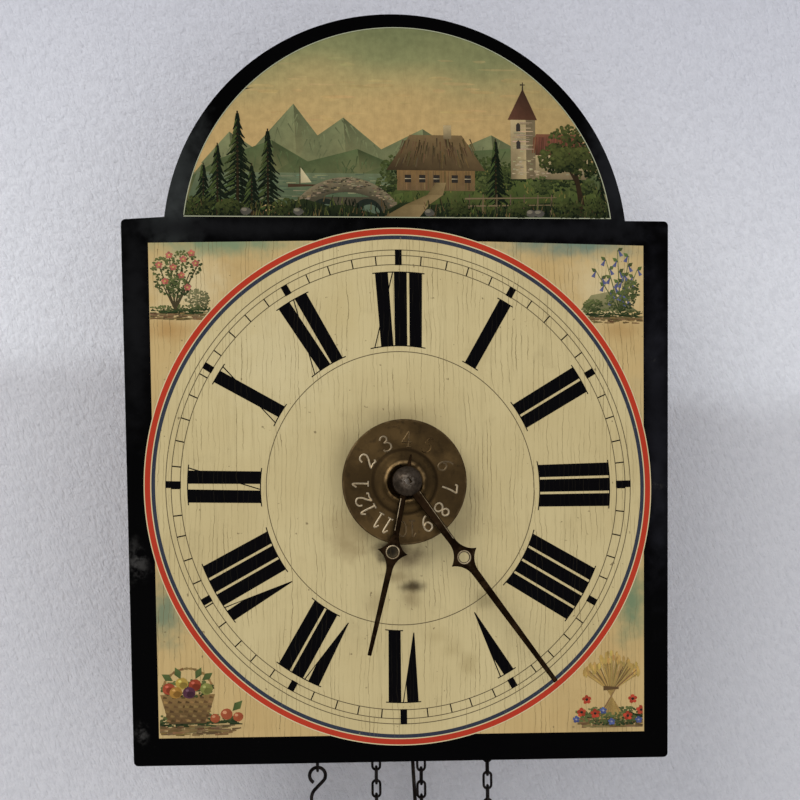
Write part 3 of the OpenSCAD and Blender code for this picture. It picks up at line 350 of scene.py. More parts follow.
def cream_paint(name, light, dark, marks):
    """Old cream oil paint with cracks, brush grain, specks and a list of soft marks."""
    material, tree, shader, where = finish(name, Specular_IOR_Level=0.06)
    lines, grain = cracks(tree, where)
    colour = blend(tree, step(tree, noise(tree, where, 16.0, 5.0, 0.6), 0.3, 0.7), light, dark)
    dull = step(tree, noise(tree, where, 55.0, 5.0, 0.65), 0.56, 0.76, 0.0, 0.4)
    colour = blend(tree, dull, colour, [0.78 * c for c in dark])
    brushed = step(tree, grain, 0.45, 0.75, 0.0, 0.35)
    colour = blend(tree, brushed, colour, [0.72 * c for c in dark])
    for x, z, wide, high, share, tint in marks:
        colour = blend(tree, times(tree, spot(tree, where, x, z, wide, high), share), colour, tint)
    specks = step(tree, noise(tree, where, 420.0, 2.0, 0.5), 0.72, 0.77, 0.0, 0.7)
    colour = blend(tree, specks, colour, (0.13, 0.095, 0.045))
    colour = blend(tree, times(tree, lines, 0.85), colour, (0.115, 0.082, 0.032))
    height = step(tree, lines, 0.0, 1.0, 1.0, 0.0)
    wire(tree, shader, colour, step(tree, grain, 0.3, 0.8, 0.42, 0.58), height, depth=0.0001, strength=0.35)
    return material


def face_forwards(mesh):
    """Turns every face of a flat layer towards the viewer."""
    bm = bmesh.new()
    bm.from_mesh(mesh)
    for face in bm.faces:
        face.normal_update()
        if face.normal.y > 0:
            face.normal_flip()
    bm.to_mesh(mesh)
    bm.free()


def sheet(name, loops, lift, place=on_dial):
    """A paint layer without thickness from outlines with holes, facing forwards."""
    mesh = plain_mesh(name, filled(loops, place, lift))
    face_forwards(mesh)
    return mesh


corner_cream = cream_paint("corner_cream", (0.47, 0.345, 0.155), (0.42, 0.29, 0.12), corner_marks)
on_shield("cream_panel", sheet("cream_panel", [panel_corners, pipe_hole], panel_lift), corner_cream)
ground_loops = [arc(0, 0, ground_r, 0, 358.5, 239), pipe_hole]
dial_cream = cream_paint("dial_cream", (0.495, 0.408, 0.212), (0.45, 0.362, 0.18), dial_marks)
on_shield("dial_ground", sheet("dial_ground", ground_loops, ground_lift, on_paint), dial_cream)

# Rings round the dial: a red ring with light outlines and a dark blue ring inside it.
# They are drawn with a pair of compasses in oil paint, a little thicker than the ground.
# The paint is worn through in places.
ring_lines = [(123.8, 124.6), (127.1, 127.7)]
red_ring, blue_ring = (124.5, 127.2), (122.1, 123.95)
outline_lift, ring_lift = 0.16, 0.18


def mesh_from(name, verts, faces):
    mesh = bpy.data.meshes.new(name)
    mesh.from_pydata(verts, [], faces)
    return mesh


def rings(name, radii, lift, parts=240):
    """Flat painted rings round the dial centre, each between two radii."""
    verts, faces = [], []
    for inner, outer in radii:
        first = len(verts)
        for k in range(parts):
            turn = 2 * math.pi * k / parts
            verts += [on_paint(r * math.sin(turn), r * math.cos(turn), lift) for r in (inner, outer)]
        for k in range(parts):
            a, b = first + 2 * k, first + 2 * ((k + 1) % parts)
            faces.append((a, a + 1, b + 1, b))
    return mesh_from(name, verts, faces)


def line_paint(name, light, dark, wear_and_highlight, wear=0.68, gloss=0.42, mirror=0.12):
    """Thin oil paint that varies a little and is worn through to another colour in specks."""
    material, tree, shader, where = finish(name, Specular_IOR_Level=mirror)
    lines, grain = cracks(tree, where)
    colour = blend(tree, noise(tree, where, 30.0, 5.0), light, dark)
    gone = step(tree, noise(tree, where, 480.0, 4.0, 0.65), wear, wear + 0.06, 0.0, 0.85)
    colour = blend(tree, gone, colour, wear_and_highlight)
    colour = blend(tree, times(tree, lines, 0.25), colour, wear_and_highlight)
    rough = step(tree, grain, 0.3, 0.8, gloss, gloss + 0.16)
    wire(tree, shader, colour, rough, grain, depth=0.00005, strength=0.3)
    return material


outline_cream = line_paint("outline_cream", (0.55, 0.47, 0.28), (0.47, 0.38, 0.2), (0.1, 0.06, 0.03))
ring_red = line_paint("ring_red", (0.42, 0.030, 0.008), (0.31, 0.018, 0.004), (0.13, 0.014, 0.005), 0.72)
ring_blue = line_paint("ring_blue", (0.022, 0.030, 0.046), (0.013, 0.016, 0.031), (0.2, 0.17, 0.1))
on_shield("ring_outlines", rings("ring_outlines", ring_lines, outline_lift), outline_cream)
on_shield("red_ring", rings("red_ring", [red_ring], ring_lift), ring_red)
on_shield("blue_ring", rings("blue_ring", [blue_ring], ring_lift), ring_blue)

# Minute track: three fine brown circles with sixty black minute strokes between the inner two of them.
# All are drawn by hand with pen and brush, so the strokes stand unevenly.
# One more fine circle runs inside the numerals.
track_circles = [(116.7, 117.1), (114.05, 114.45), (109.6, 110.0), (67.2, 67.6)]
track_lift, minute_lift = 0.17, 0.19
cream_worn = (0.40, 0.32, 0.16)
fine_brown = line_paint("fine_brown", (0.115, 0.088, 0.040), (0.070, 0.052, 0.024), cream_worn, 0.66, 0.5)
number_black = line_paint("number_black", (0.0012, 0.0009, 0.0010), (0.0022, 0.0021, 0.0028),
                          (0.05, 0.04, 0.022), 0.76, 0.5, 0.015)


def track_tree():
    """Strokes of one size round a circle, each turned to its centre and a little off its place."""
    sizes = {"Geometry": "Geometry", "Count": "Int", "Radius": "Float", "Width": "Float", "Length": "Float",
             "Unevenness": "Float", "Paint": "Material"}
    tree, given, result = group("minute_track", sizes, {"Geometry": "Geometry"}, "GeometryNodeTree")
    ring = add(tree, "GeometryNodeMeshCircle", {"Vertices": given["Count"], "Radius": given["Radius"]})
    limits = {2: times(tree, given["Unevenness"], -1.0), 3: given["Unevenness"], "Seed": 5}
    chance = add(tree, "FunctionNodeRandomValue", limits, data_type="FLOAT").outputs[1]
    place = add(tree, "GeometryNodeInputPosition").outputs[0]
    moved = add(tree, "ShaderNodeVectorRotate", {"Vector": place, "Angle": chance}, rotation_type="Z_AXIS")
    ring = add(tree, "GeometryNodeSetPosition", {"Geometry": ring.outputs[0], "Position": moved.outputs[0]})
    size = {"Size X": given["Width"], "Size Y": given["Length"], "Vertices X": 2, "Vertices Y": 2}
    stroke = add(tree, "GeometryNodeMeshGrid", size).outputs[0]
    turn = add(tree, "FunctionNodeAlignRotationToVector", {"Vector": place}, axis="Y", pivot_axis="Z")
    marks = add(tree, "GeometryNodeInstanceOnPoints",
                {"Points": ring.outputs[0], "Instance": stroke, "Rotation": turn.outputs[0]})
    real = add(tree, "GeometryNodeRealizeInstances", {0: marks.outputs[0]})
    paint = add(tree, "GeometryNodeSetMaterial", {0: real.outputs[0], "Material": given["Paint"]})
    tree.links.new(paint.outputs[0], result[0])
    return tree


def grown(name, tree, values):
    """The plain mesh that a geometry tree makes with the given inputs."""
    carrier = bpy.data.objects.new(name, bpy.data.meshes.new(name + "_seed"))
    scene.collection.objects.link(carrier)
    modifier = carrier.modifiers.new(name, "NODES")
    modifier.node_group = tree
    for item in tree.interface.items_tree:
        if item.in_out == "INPUT" and item.name in values:
            modifier[item.identifier] = values[item.name]
    ready = carrier.evaluated_get(bpy.context.evaluated_depsgraph_get())
    mesh = bpy.data.meshes.new_from_object(ready)
    carrier.modifiers.clear()
    bpy.data.objects.remove(carrier)
    mesh.name = name
    return mesh


on_shield("track_circles", rings("track_circles", track_circles, track_lift), fine_brown)
track_sizes = {"Count": 60, "Radius": 0.112, "Width": 0.00058, "Length": 0.0044, "Unevenness": 0.008,
               "Paint": number_black}
strokes = grown("minute_strokes", track_tree(), track_sizes)
for vert in strokes.vertices:
    vert.co = on_paint(1000 * vert.co.x, 1000 * vert.co.y, minute_lift)
on_shield("minute_strokes", strokes, number_black)

# Hour numerals: Roman figures with broad strokes, hairlines and fine serif lines, feet to the centre.
# They are painted by hand in black on the cream ground, each under its hour mark in the minute track.
hours = ["XII", "I", "II", "III", "IIII", "V", "VI", "VII", "VIII", "IX", "X", "XI"]
hour_turns = [0.0, 30.3, 59.4, 89.0, 120.2, 150.3, 180.1, 210.0, 241.1, 271.3, 302.0, 330.0]
long_mark, short_mark, mark_w = (109.5, 117.1), (109.4, 114.4), 3.35
numeral_in, numeral_out, foot_scale = 70.3, 106.2, 0.955
numeral_lift, hair_under, serif_under = 0.2, 0.012, 0.006
stroke_w, stroke_gap, gap_before_x = 6.4, 1.25, 2.8
serif_t, serif_over, serif_steps, hair_w = 0.5, 1.3, 12, 0.55
v_wide, v_thick, v_deep, v_low, v_gap = 8.0, 5.7, 9.0, 1.2, 0.8
v_foot, v_foot_alone, v_point, v_notch = 1.8, 2.9, 0.25, 0.5
x_slant, x_next, x_hair_low, x_hair_high = 2.2, 9.45, 3.6, 2.7
nine_slant, nine_hair_low, nine_hair_high = 0.6, 2.5, 1.6


def numeral(letters):
    """Polygons of one numeral in its own frame: x to the right, a share of its height outwards."""
    shapes, top_spans, foot_spans = [], [], []
    x = 0.0
    for k, letter in enumerate(letters):
        if letter == "I":
            shapes.append([(x, 1), (x, 0), (x + stroke_w, 0), (x + stroke_w, 1)])
            top_spans.append((x, x + stroke_w))
            foot_spans.append((x, x + stroke_w))
            x += stroke_w + (stroke_gap if letters[k + 1:k + 2] != "X" else gap_before_x)
        elif letter == "V":
            height = numeral_out - numeral_in
            low, notch = v_low / height, 1 - v_deep / height
            foot = x + (v_foot if len(letters) > 1 else v_foot_alone)
            inside = (x + v_thick + v_notch, notch)
            shapes.append([(x, 1), (foot - v_point, low), (foot + v_point, low), inside, (x + v_thick, 1)])
            shapes.append([inside, (foot + v_point, low), (x + v_wide, 1), (x + v_wide - hair_w, 1)])
            top_spans.append((x, x + v_wide))
            x += v_wide + v_gap
        else:
            slant = x_slant
            low_x, high_x = x + slant - x_hair_low, x + stroke_w + x_hair_high
            if letters.startswith("I"):
                slant = nine_slant
                low_x, high_x = x - nine_hair_low, x + stroke_w + nine_hair_high
            shapes.append([(x, 1), (x + slant, 0), (x + slant + stroke_w, 0), (x + stroke_w, 1)])
            shapes.append([(low_x, 0), (low_x + hair_w, 0), (high_x, 1), (high_x - hair_w, 1)])
            top_spans.append((x, high_x))
            foot_spans.append((low_x, x + slant + stroke_w))
            x += x_next
    middle = (top_spans[0][0] + top_spans[-1][1]) / 2
    shapes = [[(px - middle, share) for px, share in shape] for shape in shapes]
    spans = []
    for row, inner in ((top_spans, False), (foot_spans, True)):
        if row:
            spans.append((row[0][0] - serif_over - middle, row[-1][1] + serif_over - middle, inner))
    return shapes, spans


def turned(x, y, turn):
    """A place turned clockwise round the dial centre."""
    return x * math.cos(turn) + y * math.sin(turn), y * math.cos(turn) - x * math.sin(turn)


def numerals_mesh(name):
    verts, faces = [], []

    def lay(points, hour, under=0.0):
        turn = math.radians(hour_turns[hour])
        first = len(verts)
        verts.extend(on_paint(*turned(x, y, turn), numeral_lift - under) for x, y in points)
        faces.append(tuple(range(first, first + len(points))))

    def on_arc(x, share):
        x *= foot_scale + (1 - foot_scale) * share
        r = numeral_in + (numeral_out - numeral_in) * share
        return x, math.sqrt(r * r - x * x)

    for hour, letters in enumerate(hours):
        shapes, spans = numeral(letters)
        for shape in shapes:
            tops = [x for x, share in shape if share == 1]
            hairline = max(tops) - min(tops) < 1
            lay([on_arc(x, share) for x, share in shape], hour, hair_under if hairline else 0.0)
        for left, right, inner in spans:
            xs = [left + (right - left) * k / serif_steps for k in range(serif_steps + 1)]
            r = numeral_in if inner else numeral_out
            lay([(x, math.sqrt((r - serif_t / 2) ** 2 - x * x)) for x in xs]
                + [(x, math.sqrt((r + serif_t / 2) ** 2 - x * x)) for x in reversed(xs)], hour, serif_under)
        low, high = short_mark if hour % 3 else long_mark
        lay([(-mark_w / 2, low), (mark_w / 2, low), (mark_w / 2, high), (-mark_w / 2, high)], hour)
    mesh = mesh_from(name, verts, faces)
    face_forwards(mesh)
    return mesh


on_shield("hour_numerals", numerals_mesh("hour_numerals"), number_black)

# Arch picture: an oil landscape in the head of the shield, inside a fine light line.
# A lake under mountains, a chapel, a farmhouse, a stone bridge and firs are laid in with small brush dabs,
# each a thin layer a little in front of the one before, its colour kept in the mesh.
picture_x, picture_z, picture_r, picture_low = 1.0, 120.6, 108.2, 133.0
picture_lift, paint_coat, smallest_dab, cell_side = 0.1, 0.0007, 0.02, 2
sky_stops = [(133, (0.38, 0.255, 0.105)), (172, (0.40, 0.27, 0.11)), (190, (0.375, 0.265, 0.11)),
             (203, (0.30, 0.245, 0.105)), (214, (0.19, 0.19, 0.083)), (230, (0.14, 0.15, 0.066))]
far_peaks = [(-104, 150), (-84, 166), (-72, 160), (-52, 177), (-40, 165), (-27, 172), (-8, 160), (13, 168),
             (30, 160), (48, 166), (70, 157), (104, 152)]
near_peaks = [(-106, 150), (-88, 156), (-63, 163), (-45, 155), (-20, 160), (2, 153), (24, 159), (58, 161),
              (84, 158), (108, 150)]
village_grow = (42, 140, 1.32, 1.28)
wall_lit, wall_dim = (0.36, 0.275, 0.14), (0.13, 0.098, 0.052)
base_line = [(-106.9, 132.2), (108.9, 132.9), (108.7, 133.35), (-106.7, 132.65)]
frame_over, frame_under, frame_lift, base_lift = 0.4, 0.02, 0.3, 0.31


def toned(colour, factor):
    """A lighter or darker tone of a colour."""
    return tuple(factor * c for c in colour)


def mixed(first, second, share):
    return tuple(a + (b - a) * share for a, b in zip(first, second))


class Brush:
    """Lays dabs of paint as polygons with a colour at each corner, each just in front of those below."""

    def __init__(self, seed, keep_in):
        self.chance = random.Random(seed)
        self.keep_in, self.top, self.grow = keep_in, {}, (0, 0, 1, 1)
        self.verts, self.faces, self.colours = [], [], []

    def lay(self, points, colours, coat=paint_coat):
        if isinstance(colours[0], (int, float)):
            colours = [colours] * len(points)
        at_x, at_z, wider, taller = self.grow
        points = [self.keep_in(at_x + (x - at_x) * wider, at_z + (z - at_z) * taller) for x, z in points]
        area = sum(points[k - 1][0] * p[1] - p[0] * points[k - 1][1] for k, p in enumerate(points))
        if abs(area) < smallest_dab:
            return
        spans = [range(int(min(side) // cell_side), int(max(side) // cell_side) + 1) for side in zip(*points)]
        cells = [(i, j) for i in spans[0] for j in spans[1]]
        lift = max(self.top.get(cell, picture_lift) for cell in cells) + coat
        if coat:
            self.top.update((cell, lift) for cell in cells)
        first = len(self.verts)
        self.verts += [on_dial(x, z, lift) for x, z in points]
        order = list(range(len(points)))
        if area < 0:
            order.reverse()
        self.faces.append(tuple(first + k for k in order))
        self.colours += [colours[k] for k in order]

    def wall(self, x0, z0, x1, z1, foot, head):
        """An upright rectangle, its colour changing from its foot to its head."""
        self.lay([(x0, z0), (x1, z0), (x1, z1), (x0, z1)], [foot, foot, head, head])

    def stroke(self, x0, z0, x1, z1, wide, colour, end=None, taper=0.45):
        """A straight stroke, tapered towards its end."""
        long = math.hypot(x1 - x0, z1 - z0) or 1.0
        nx, nz = -(z1 - z0) / long * wide / 2, (x1 - x0) / long * wide / 2
        self.lay([(x0 + nx, z0 + nz), (x0 - nx, z0 - nz), (x1 - nx * taper, z1 - nz * taper),
                  (x1 + nx * taper, z1 + nz * taper)], [colour, colour, end or colour, end or colour])

    def dab(self, x, z, wide, high, colour, sides=7, uneven=0.25):
        """A rounded dab with an uneven rim."""
        start = self.chance.random() * 6.28
        points = []
        for k in range(sides):
            turn = start + 6.2832 * k / sides
            far = 1 - uneven * self.chance.random()
            points.append((x + wide * far * math.cos(turn), z + high * far * math.sin(turn)))
        self.lay(points, [self.vary(colour, 0.12) for _ in points])

    def vary(self, colour, share):
        tone = 1 + share * (2 * self.chance.random() - 1)
        return tuple(c * tone * (1 + 0.3 * share * (2 * self.chance.random() - 1)) for c in colour)

    def foliage(self, x, z, wide, high, count, dark, light, size=2.2):
        """A bush or crown: dark dabs first, lighter ones towards the upper left."""
        for k in range(count):
            turn, far = self.chance.random() * 6.28, math.sqrt(self.chance.random())
            dx, dz = far * math.cos(turn), far * math.sin(turn)
            share = max(0.0, min(1.0, 0.45 * k / count + 0.32 * (dz - 0.6 * dx) + 0.2 * self.chance.random()))
            grain = size * (0.7 + 0.6 * self.chance.random())
            self.dab(x + wide * dx, z + high * dz, grain, grain * 0.75, mixed(dark, light, share), 6, 0.4)

    def fir(self, x, low, high, wide, dark, light):
        """A fir: a stem, then drooping tiers of fine ragged strokes from the foot to the tip."""
        self.stroke(x, low - 2, x, high + 1, wide * 0.09, (0.02, 0.013, 0.006))
        tiers = max(6, int((high - low) / 1.7))
        for k in range(tiers):
            share = k / tiers
            z = low + (high - low) * share
            half = wide * 0.5 * (1 - share) ** 0.9 * (0.8 + 0.2 * (k % 2)) + 0.4
            for side in (-1, 1):
                for part in range(5):
                    reach = half * (0.3 + 0.18 * part) * (0.8 + 0.4 * self.chance.random())
                    lit = side < 0 and part > 2 and self.chance.random() < 0.6
                    shade = self.vary(light if lit else dark, 0.3)
                    root, end = x + side * reach * 0.2, x + side * reach
                    self.stroke(root, z + 1.6, end, z - 0.35 * part, 1.0, shade)

    def mesh(self, name):
        mesh = mesh_from(name, self.verts, self.faces)
        colours = mesh.attributes.new("paint", "FLOAT_COLOR", "CORNER")
        colours.data.foreach_set("color", [value for c in self.colours for value in (*c, 1.0)])
        return mesh


def in_arch(x, z):
    """Keeps a place inside the picture's outline."""
    z = max(z, picture_low)
    far = math.hypot(x - picture_x, z - picture_z)
    if far > picture_r:
        x, z = picture_x + (x - picture_x) * picture_r / far, picture_z + (z - picture_z) * picture_r / far
    return x, max(z, picture_low)


def sky_colour(x, z):
    """The sky is warm over the land, green at the top and dimmer to the right."""
    tone = sky_stops[-1][1]
    for (low, low_tone), (high, high_tone) in zip(sky_stops, sky_stops[1:]):
        if z <= high:
            tone = mixed(low_tone, high_tone, max(0.0, (z - low) / (high - low)))
            break
    return toned(tone, 1 - 0.0016 * max(0, x))


def paint_sky(brush):
    chance = brush.chance
    rows, columns, tall = 24, 30, picture_z + picture_r - picture_low
    for r in range(rows):
        z0, z1 = (picture_low + tall * math.sin(math.pi / 2 * (r + k) / rows) for k in (0, 1))
        w0, w1 = (math.sqrt(max(0.0, picture_r ** 2 - (z - picture_z) ** 2)) for z in (z0, z1))
        for c in range(columns):
            t0, t1 = -1 + 2 * c / columns, -1 + 2 * (c + 1) / columns
            ends = ((w0, t0, z0), (w0, t1, z0), (w1, t1, z1), (w1, t0, z1))
            corners = [(picture_x + w * t, z) for w, t, z in ends]
            shades = []
            for x, z in corners:
                wave = 3 * math.sin(x / 23 + z / 11) + 2 * math.sin(x / 9 - z / 13)
                shades.append(sky_colour(x, z + wave))
            brush.lay(corners, shades, 0.0)
    for k in range(46):
        x, z = chance.uniform(-72, 78), chance.uniform(180, 213)
        wide, high = chance.uniform(4, 12), chance.uniform(0.5, 1.2)
        brush.dab(x, z, wide, high, brush.vary(sky_colour(x, z - 4), 0.03), 9, 0.3)


def paint_mountains(brush):
    chance = brush.chance
    brush.grow = (0, 138, 1, 1.32)
    for tone, peaks in [((0.115, 0.125, 0.058), far_peaks), ((0.058, 0.076, 0.030), near_peaks)]:
        low = mixed(tone, (0.26, 0.205, 0.09), 0.3)
        slopes = list(zip(peaks, peaks[1:]))
        for (x0, z0), (x1, z1) in slopes:
            brush.lay([(x0, 139), (x1, 139), (x1, z1), (x0, z0)], [low, low, tone, tone])
        for (x0, z0), (x, z), (x1, z1) in zip(peaks, peaks[1:], peaks[2:]):
            if z > max(z0, z1):
                fold = (x + 1.5, z - 0.8 * (z - 148))
                left = (x - 0.7 * (x - x0), z - 0.75 * (z - z0))
                right = (x + 0.75 * (x1 - x), z - 0.8 * (z - z1))
                brush.lay([(x, z), left, fold], [toned(tone, 1.45), tone, low])
                brush.lay([(x, z), fold, right], [toned(tone, 0.62), low, tone])
        for k in range(120):
            (x0, z0), (x1, z1) = chance.choice(slopes)
            share, shade = chance.random(), chance.choice((0.7, 0.82, 1.2, 1.35))
            x, z = x0 + (x1 - x0) * share, z0 + (z1 - z0) * share - chance.uniform(0.5, 8)
            end_x, end_z = x + chance.uniform(-3, 3), z - chance.uniform(2, 5)
            brush.stroke(x, z, end_x, end_z, 0.6, toned(tone, shade), tone)


def paint_lake(brush):
    """The lake with glints on it and one small boat."""
    chance = brush.chance
    brush.grow = (0, 134, 1, 1.15)
    lake, glint, shore = (0.055, 0.078, 0.040), (0.21, 0.20, 0.105), (0.105, 0.125, 0.066)
    brush.lay([(-106, 138), (4, 138), (-6, 152), (-100, 152)], [lake, lake, shore, shore])
    for k in range(150):
        x, z = chance.uniform(-100, -4), chance.uniform(138, 151.5)
        tone = chance.choice((glint, shore, (0.05, 0.075, 0.045), (0.10, 0.135, 0.08)))
        end_x, end_z = x + chance.uniform(2, 9), z + chance.uniform(-0.2, 0.2)
        brush.stroke(x, z, end_x, end_z, 0.4, brush.vary(tone, 0.2))
    brush.stroke(-55, 146.4, -41, 146.6, 1.5, (0.045, 0.026, 0.013))
    brush.stroke(-49, 147, -49, 155, 0.45, (0.05, 0.03, 0.015))
    sail = [(-48.6, 147.6), (-43.2, 147.9), (-48.6, 154.4)]
    brush.lay(sail, [(0.30, 0.25, 0.14), (0.42, 0.36, 0.2), (0.45, 0.38, 0.22)])


def paint_meadow(brush):
    """Three swells of grass with tufts, and bushes along their top."""
    chance = brush.chance
    brush.grow = (0, 134, 1, 1.2)
    meadow, meadow_light = (0.024, 0.034, 0.009), (0.060, 0.074, 0.020)
    for x0, x1, top, foot in [(-14, 110, 155, 140), (8, 110, 150, 138), (-20, 62, 145, 134)]:
        for k in range(18):
            a, b = x0 + (x1 - x0) * k / 18, x0 + (x1 - x0) * (k + 1) / 18
            za, zb = (foot + (top - foot) * math.sin(math.pi * (x - x0) / (x1 - x0)) ** 0.6 for x in (a, b))
            brush.lay([(a, picture_low), (b, picture_low), (b, zb), (a, za)],
                      [meadow, meadow, brush.vary(meadow_light, 0.2), brush.vary(meadow_light, 0.2)])
    tufts = ((0.014, 0.021, 0.007), (0.034, 0.047, 0.012), (0.066, 0.079, 0.021), (0.13, 0.105, 0.03))
    for k in range(420):
        x = chance.uniform(-8, 108)
        z = chance.uniform(134, 145 + 8 * math.sin(math.pi * (x + 14) / 124))
        tone = chance.choice(tufts)
        end_x, end_z = x + chance.uniform(-1.2, 1.2), z + chance.uniform(0.8, 2.0)
        brush.stroke(x, z, end_x, end_z, 0.6, brush.vary(tone, 0.25))
    for k in range(12):
        brush.foliage(-2 + 9.4 * k, 153 + 2.5 * math.sin(1.9 * k), 6.5, 6, 130, (0.007, 0.012, 0.005),
                      (0.062, 0.078, 0.022), 0.85)


def paint_chapel(brush):
    """A nave with a red roof and a tower with a pointed spire and a cross."""
    chance = brush.chance
    brush.grow = village_grow
    spire, tiles, iron = (0.055, 0.024, 0.013), (0.15, 0.06, 0.032), (0.02, 0.014, 0.01)
    brush.wall(62, 150, 84, 160, wall_dim, wall_lit)
    brush.lay([(60.5, 159.6), (85.5, 159.6), (80, 168), (64, 168)], [spire, spire, tiles, tiles])
    brush.lay([(54, 150), (60, 150), (60, 174), (54, 174)], [wall_dim, wall_lit, wall_lit, wall_lit])
    brush.lay([(60, 150), (63.6, 151), (63.6, 174), (60, 174)], wall_dim)
    brush.lay([(53, 173.6), (64.4, 173.6), (58.9, 186)], [(0.09, 0.038, 0.022), spire, (0.03, 0.016, 0.010)])
    for k in range(70):
        x, z = chance.uniform(54, 83), chance.uniform(151, 159)
        brush.stroke(x, z, x + 1.2, z, 0.5, brush.vary((0.27, 0.22, 0.13), 0.4))
        x = chance.uniform(63, 81)
        brush.stroke(x, 166.8, x + 0.08 * (x - 73), 160.4, 0.5, brush.vary((0.11, 0.042, 0.024), 0.45))
    for k in range(26):
        z = chance.uniform(152, 173)
        x0, x1 = chance.uniform(54.4, 58), chance.uniform(58.5, 63)
        brush.stroke(x0, z, x1, z, 0.5, brush.vary((0.30, 0.24, 0.14), 0.35))
    brush.stroke(58.9, 185.4, 58.9, 188.6, 0.5, iron)
    brush.stroke(57.9, 187.6, 59.9, 187.6, 0.5, iron)
    for x, z in [(57, 169), (57, 162), (67, 154.5), (72, 154.5), (77, 154.5)]:
        window = [(x - 0.8, z), (x + 0.8, z), (x + 0.8, z + 2.6), (x, z + 3.5), (x - 0.8, z + 2.6)]
        brush.lay(window, (0.03, 0.025, 0.02))


def paint_farmhouse(brush):
    """Boarded walls, a thatched roof and a chimney, with bushes beside the houses."""
    chance = brush.chance
    brush.grow = village_grow
    thatch, thatch_lit, pane = (0.072, 0.047, 0.021), (0.14, 0.092, 0.04), (0.022, 0.018, 0.014)
    brush.wall(10, 145, 40, 154, (0.11, 0.07, 0.032), (0.17, 0.098, 0.036))
    roof = [(6, 153), (44, 153), (35, 167), (15, 167)]
    brush.lay(roof, [(0.035, 0.023, 0.011), thatch, thatch_lit, thatch_lit])
    for k in range(110):
        x, z = chance.uniform(9, 41), chance.uniform(155, 164)
        brush.stroke(x + 0.1 * (25 - x), z + 2.4, x, z - 1.2, 0.45, brush.vary(thatch, 0.55))
    for k in range(40):
        x = chance.uniform(10.5, 39.5)
        brush.stroke(x, 145.4, x, 152.8, 0.35, brush.vary((0.12, 0.075, 0.032), 0.4))
    for x in (13, 18.5, 24, 31, 36):
        brush.wall(x, 148.2, x + 2.4, 151.2, pane, pane)
        brush.stroke(x, 149.7, x + 2.4, 149.7, 0.35, (0.34, 0.28, 0.17))
    brush.wall(28, 165.6, 31, 171, wall_dim, wall_lit)
    for x, wide in [(6, 4), (44, 4), (66, 4), (82, 5)]:
        brush.foliage(x, 147.5, wide, 3.6, 80, (0.010, 0.016, 0.006), (0.08, 0.095, 0.028), 0.75)


def paint_bridge(brush):
    """A stone bridge with a curved deck on two arches."""
    chance = brush.chance
    brush.grow = (-26, 134, 1.2, 1.25)
    stone, stone_dim = (0.16, 0.128, 0.072), (0.052, 0.044, 0.026)
    deck = arc(-26, 122, 27, 38, 142, 16)
    for (x0, z0), (x1, z1) in zip(deck, deck[1:]):
        brush.lay([(x0, z0), (x1, z1), (x1, max(z1 - 6, 134)), (x0, max(z0 - 6, 134))],
                  [brush.vary(stone, 0.15), stone, stone_dim, stone_dim])
    brush.lay([(-47, 134), (-42, 141), (-10, 141), (-5, 134)], stone_dim)
    for x in (-35, -17):
        brush.lay(arc(x, 134, 6.4, 0, 180, 12), (0.012, 0.016, 0.011))
        brush.lay(arc(x + 0.8, 133.4, 4.7, 0, 180, 10), (0.075, 0.1, 0.062))
    for k in range(150):
        x = chance.uniform(-47, -6)
        z = 122 + math.sqrt(max(1.0, 27 ** 2 - (x + 26) ** 2)) - chance.uniform(0.3, 5.0)
        end = x + chance.uniform(0.8, 1.8)
        brush.stroke(x, z, end, z, 0.6, brush.vary(chance.choice((stone, stone_dim)), 0.45))


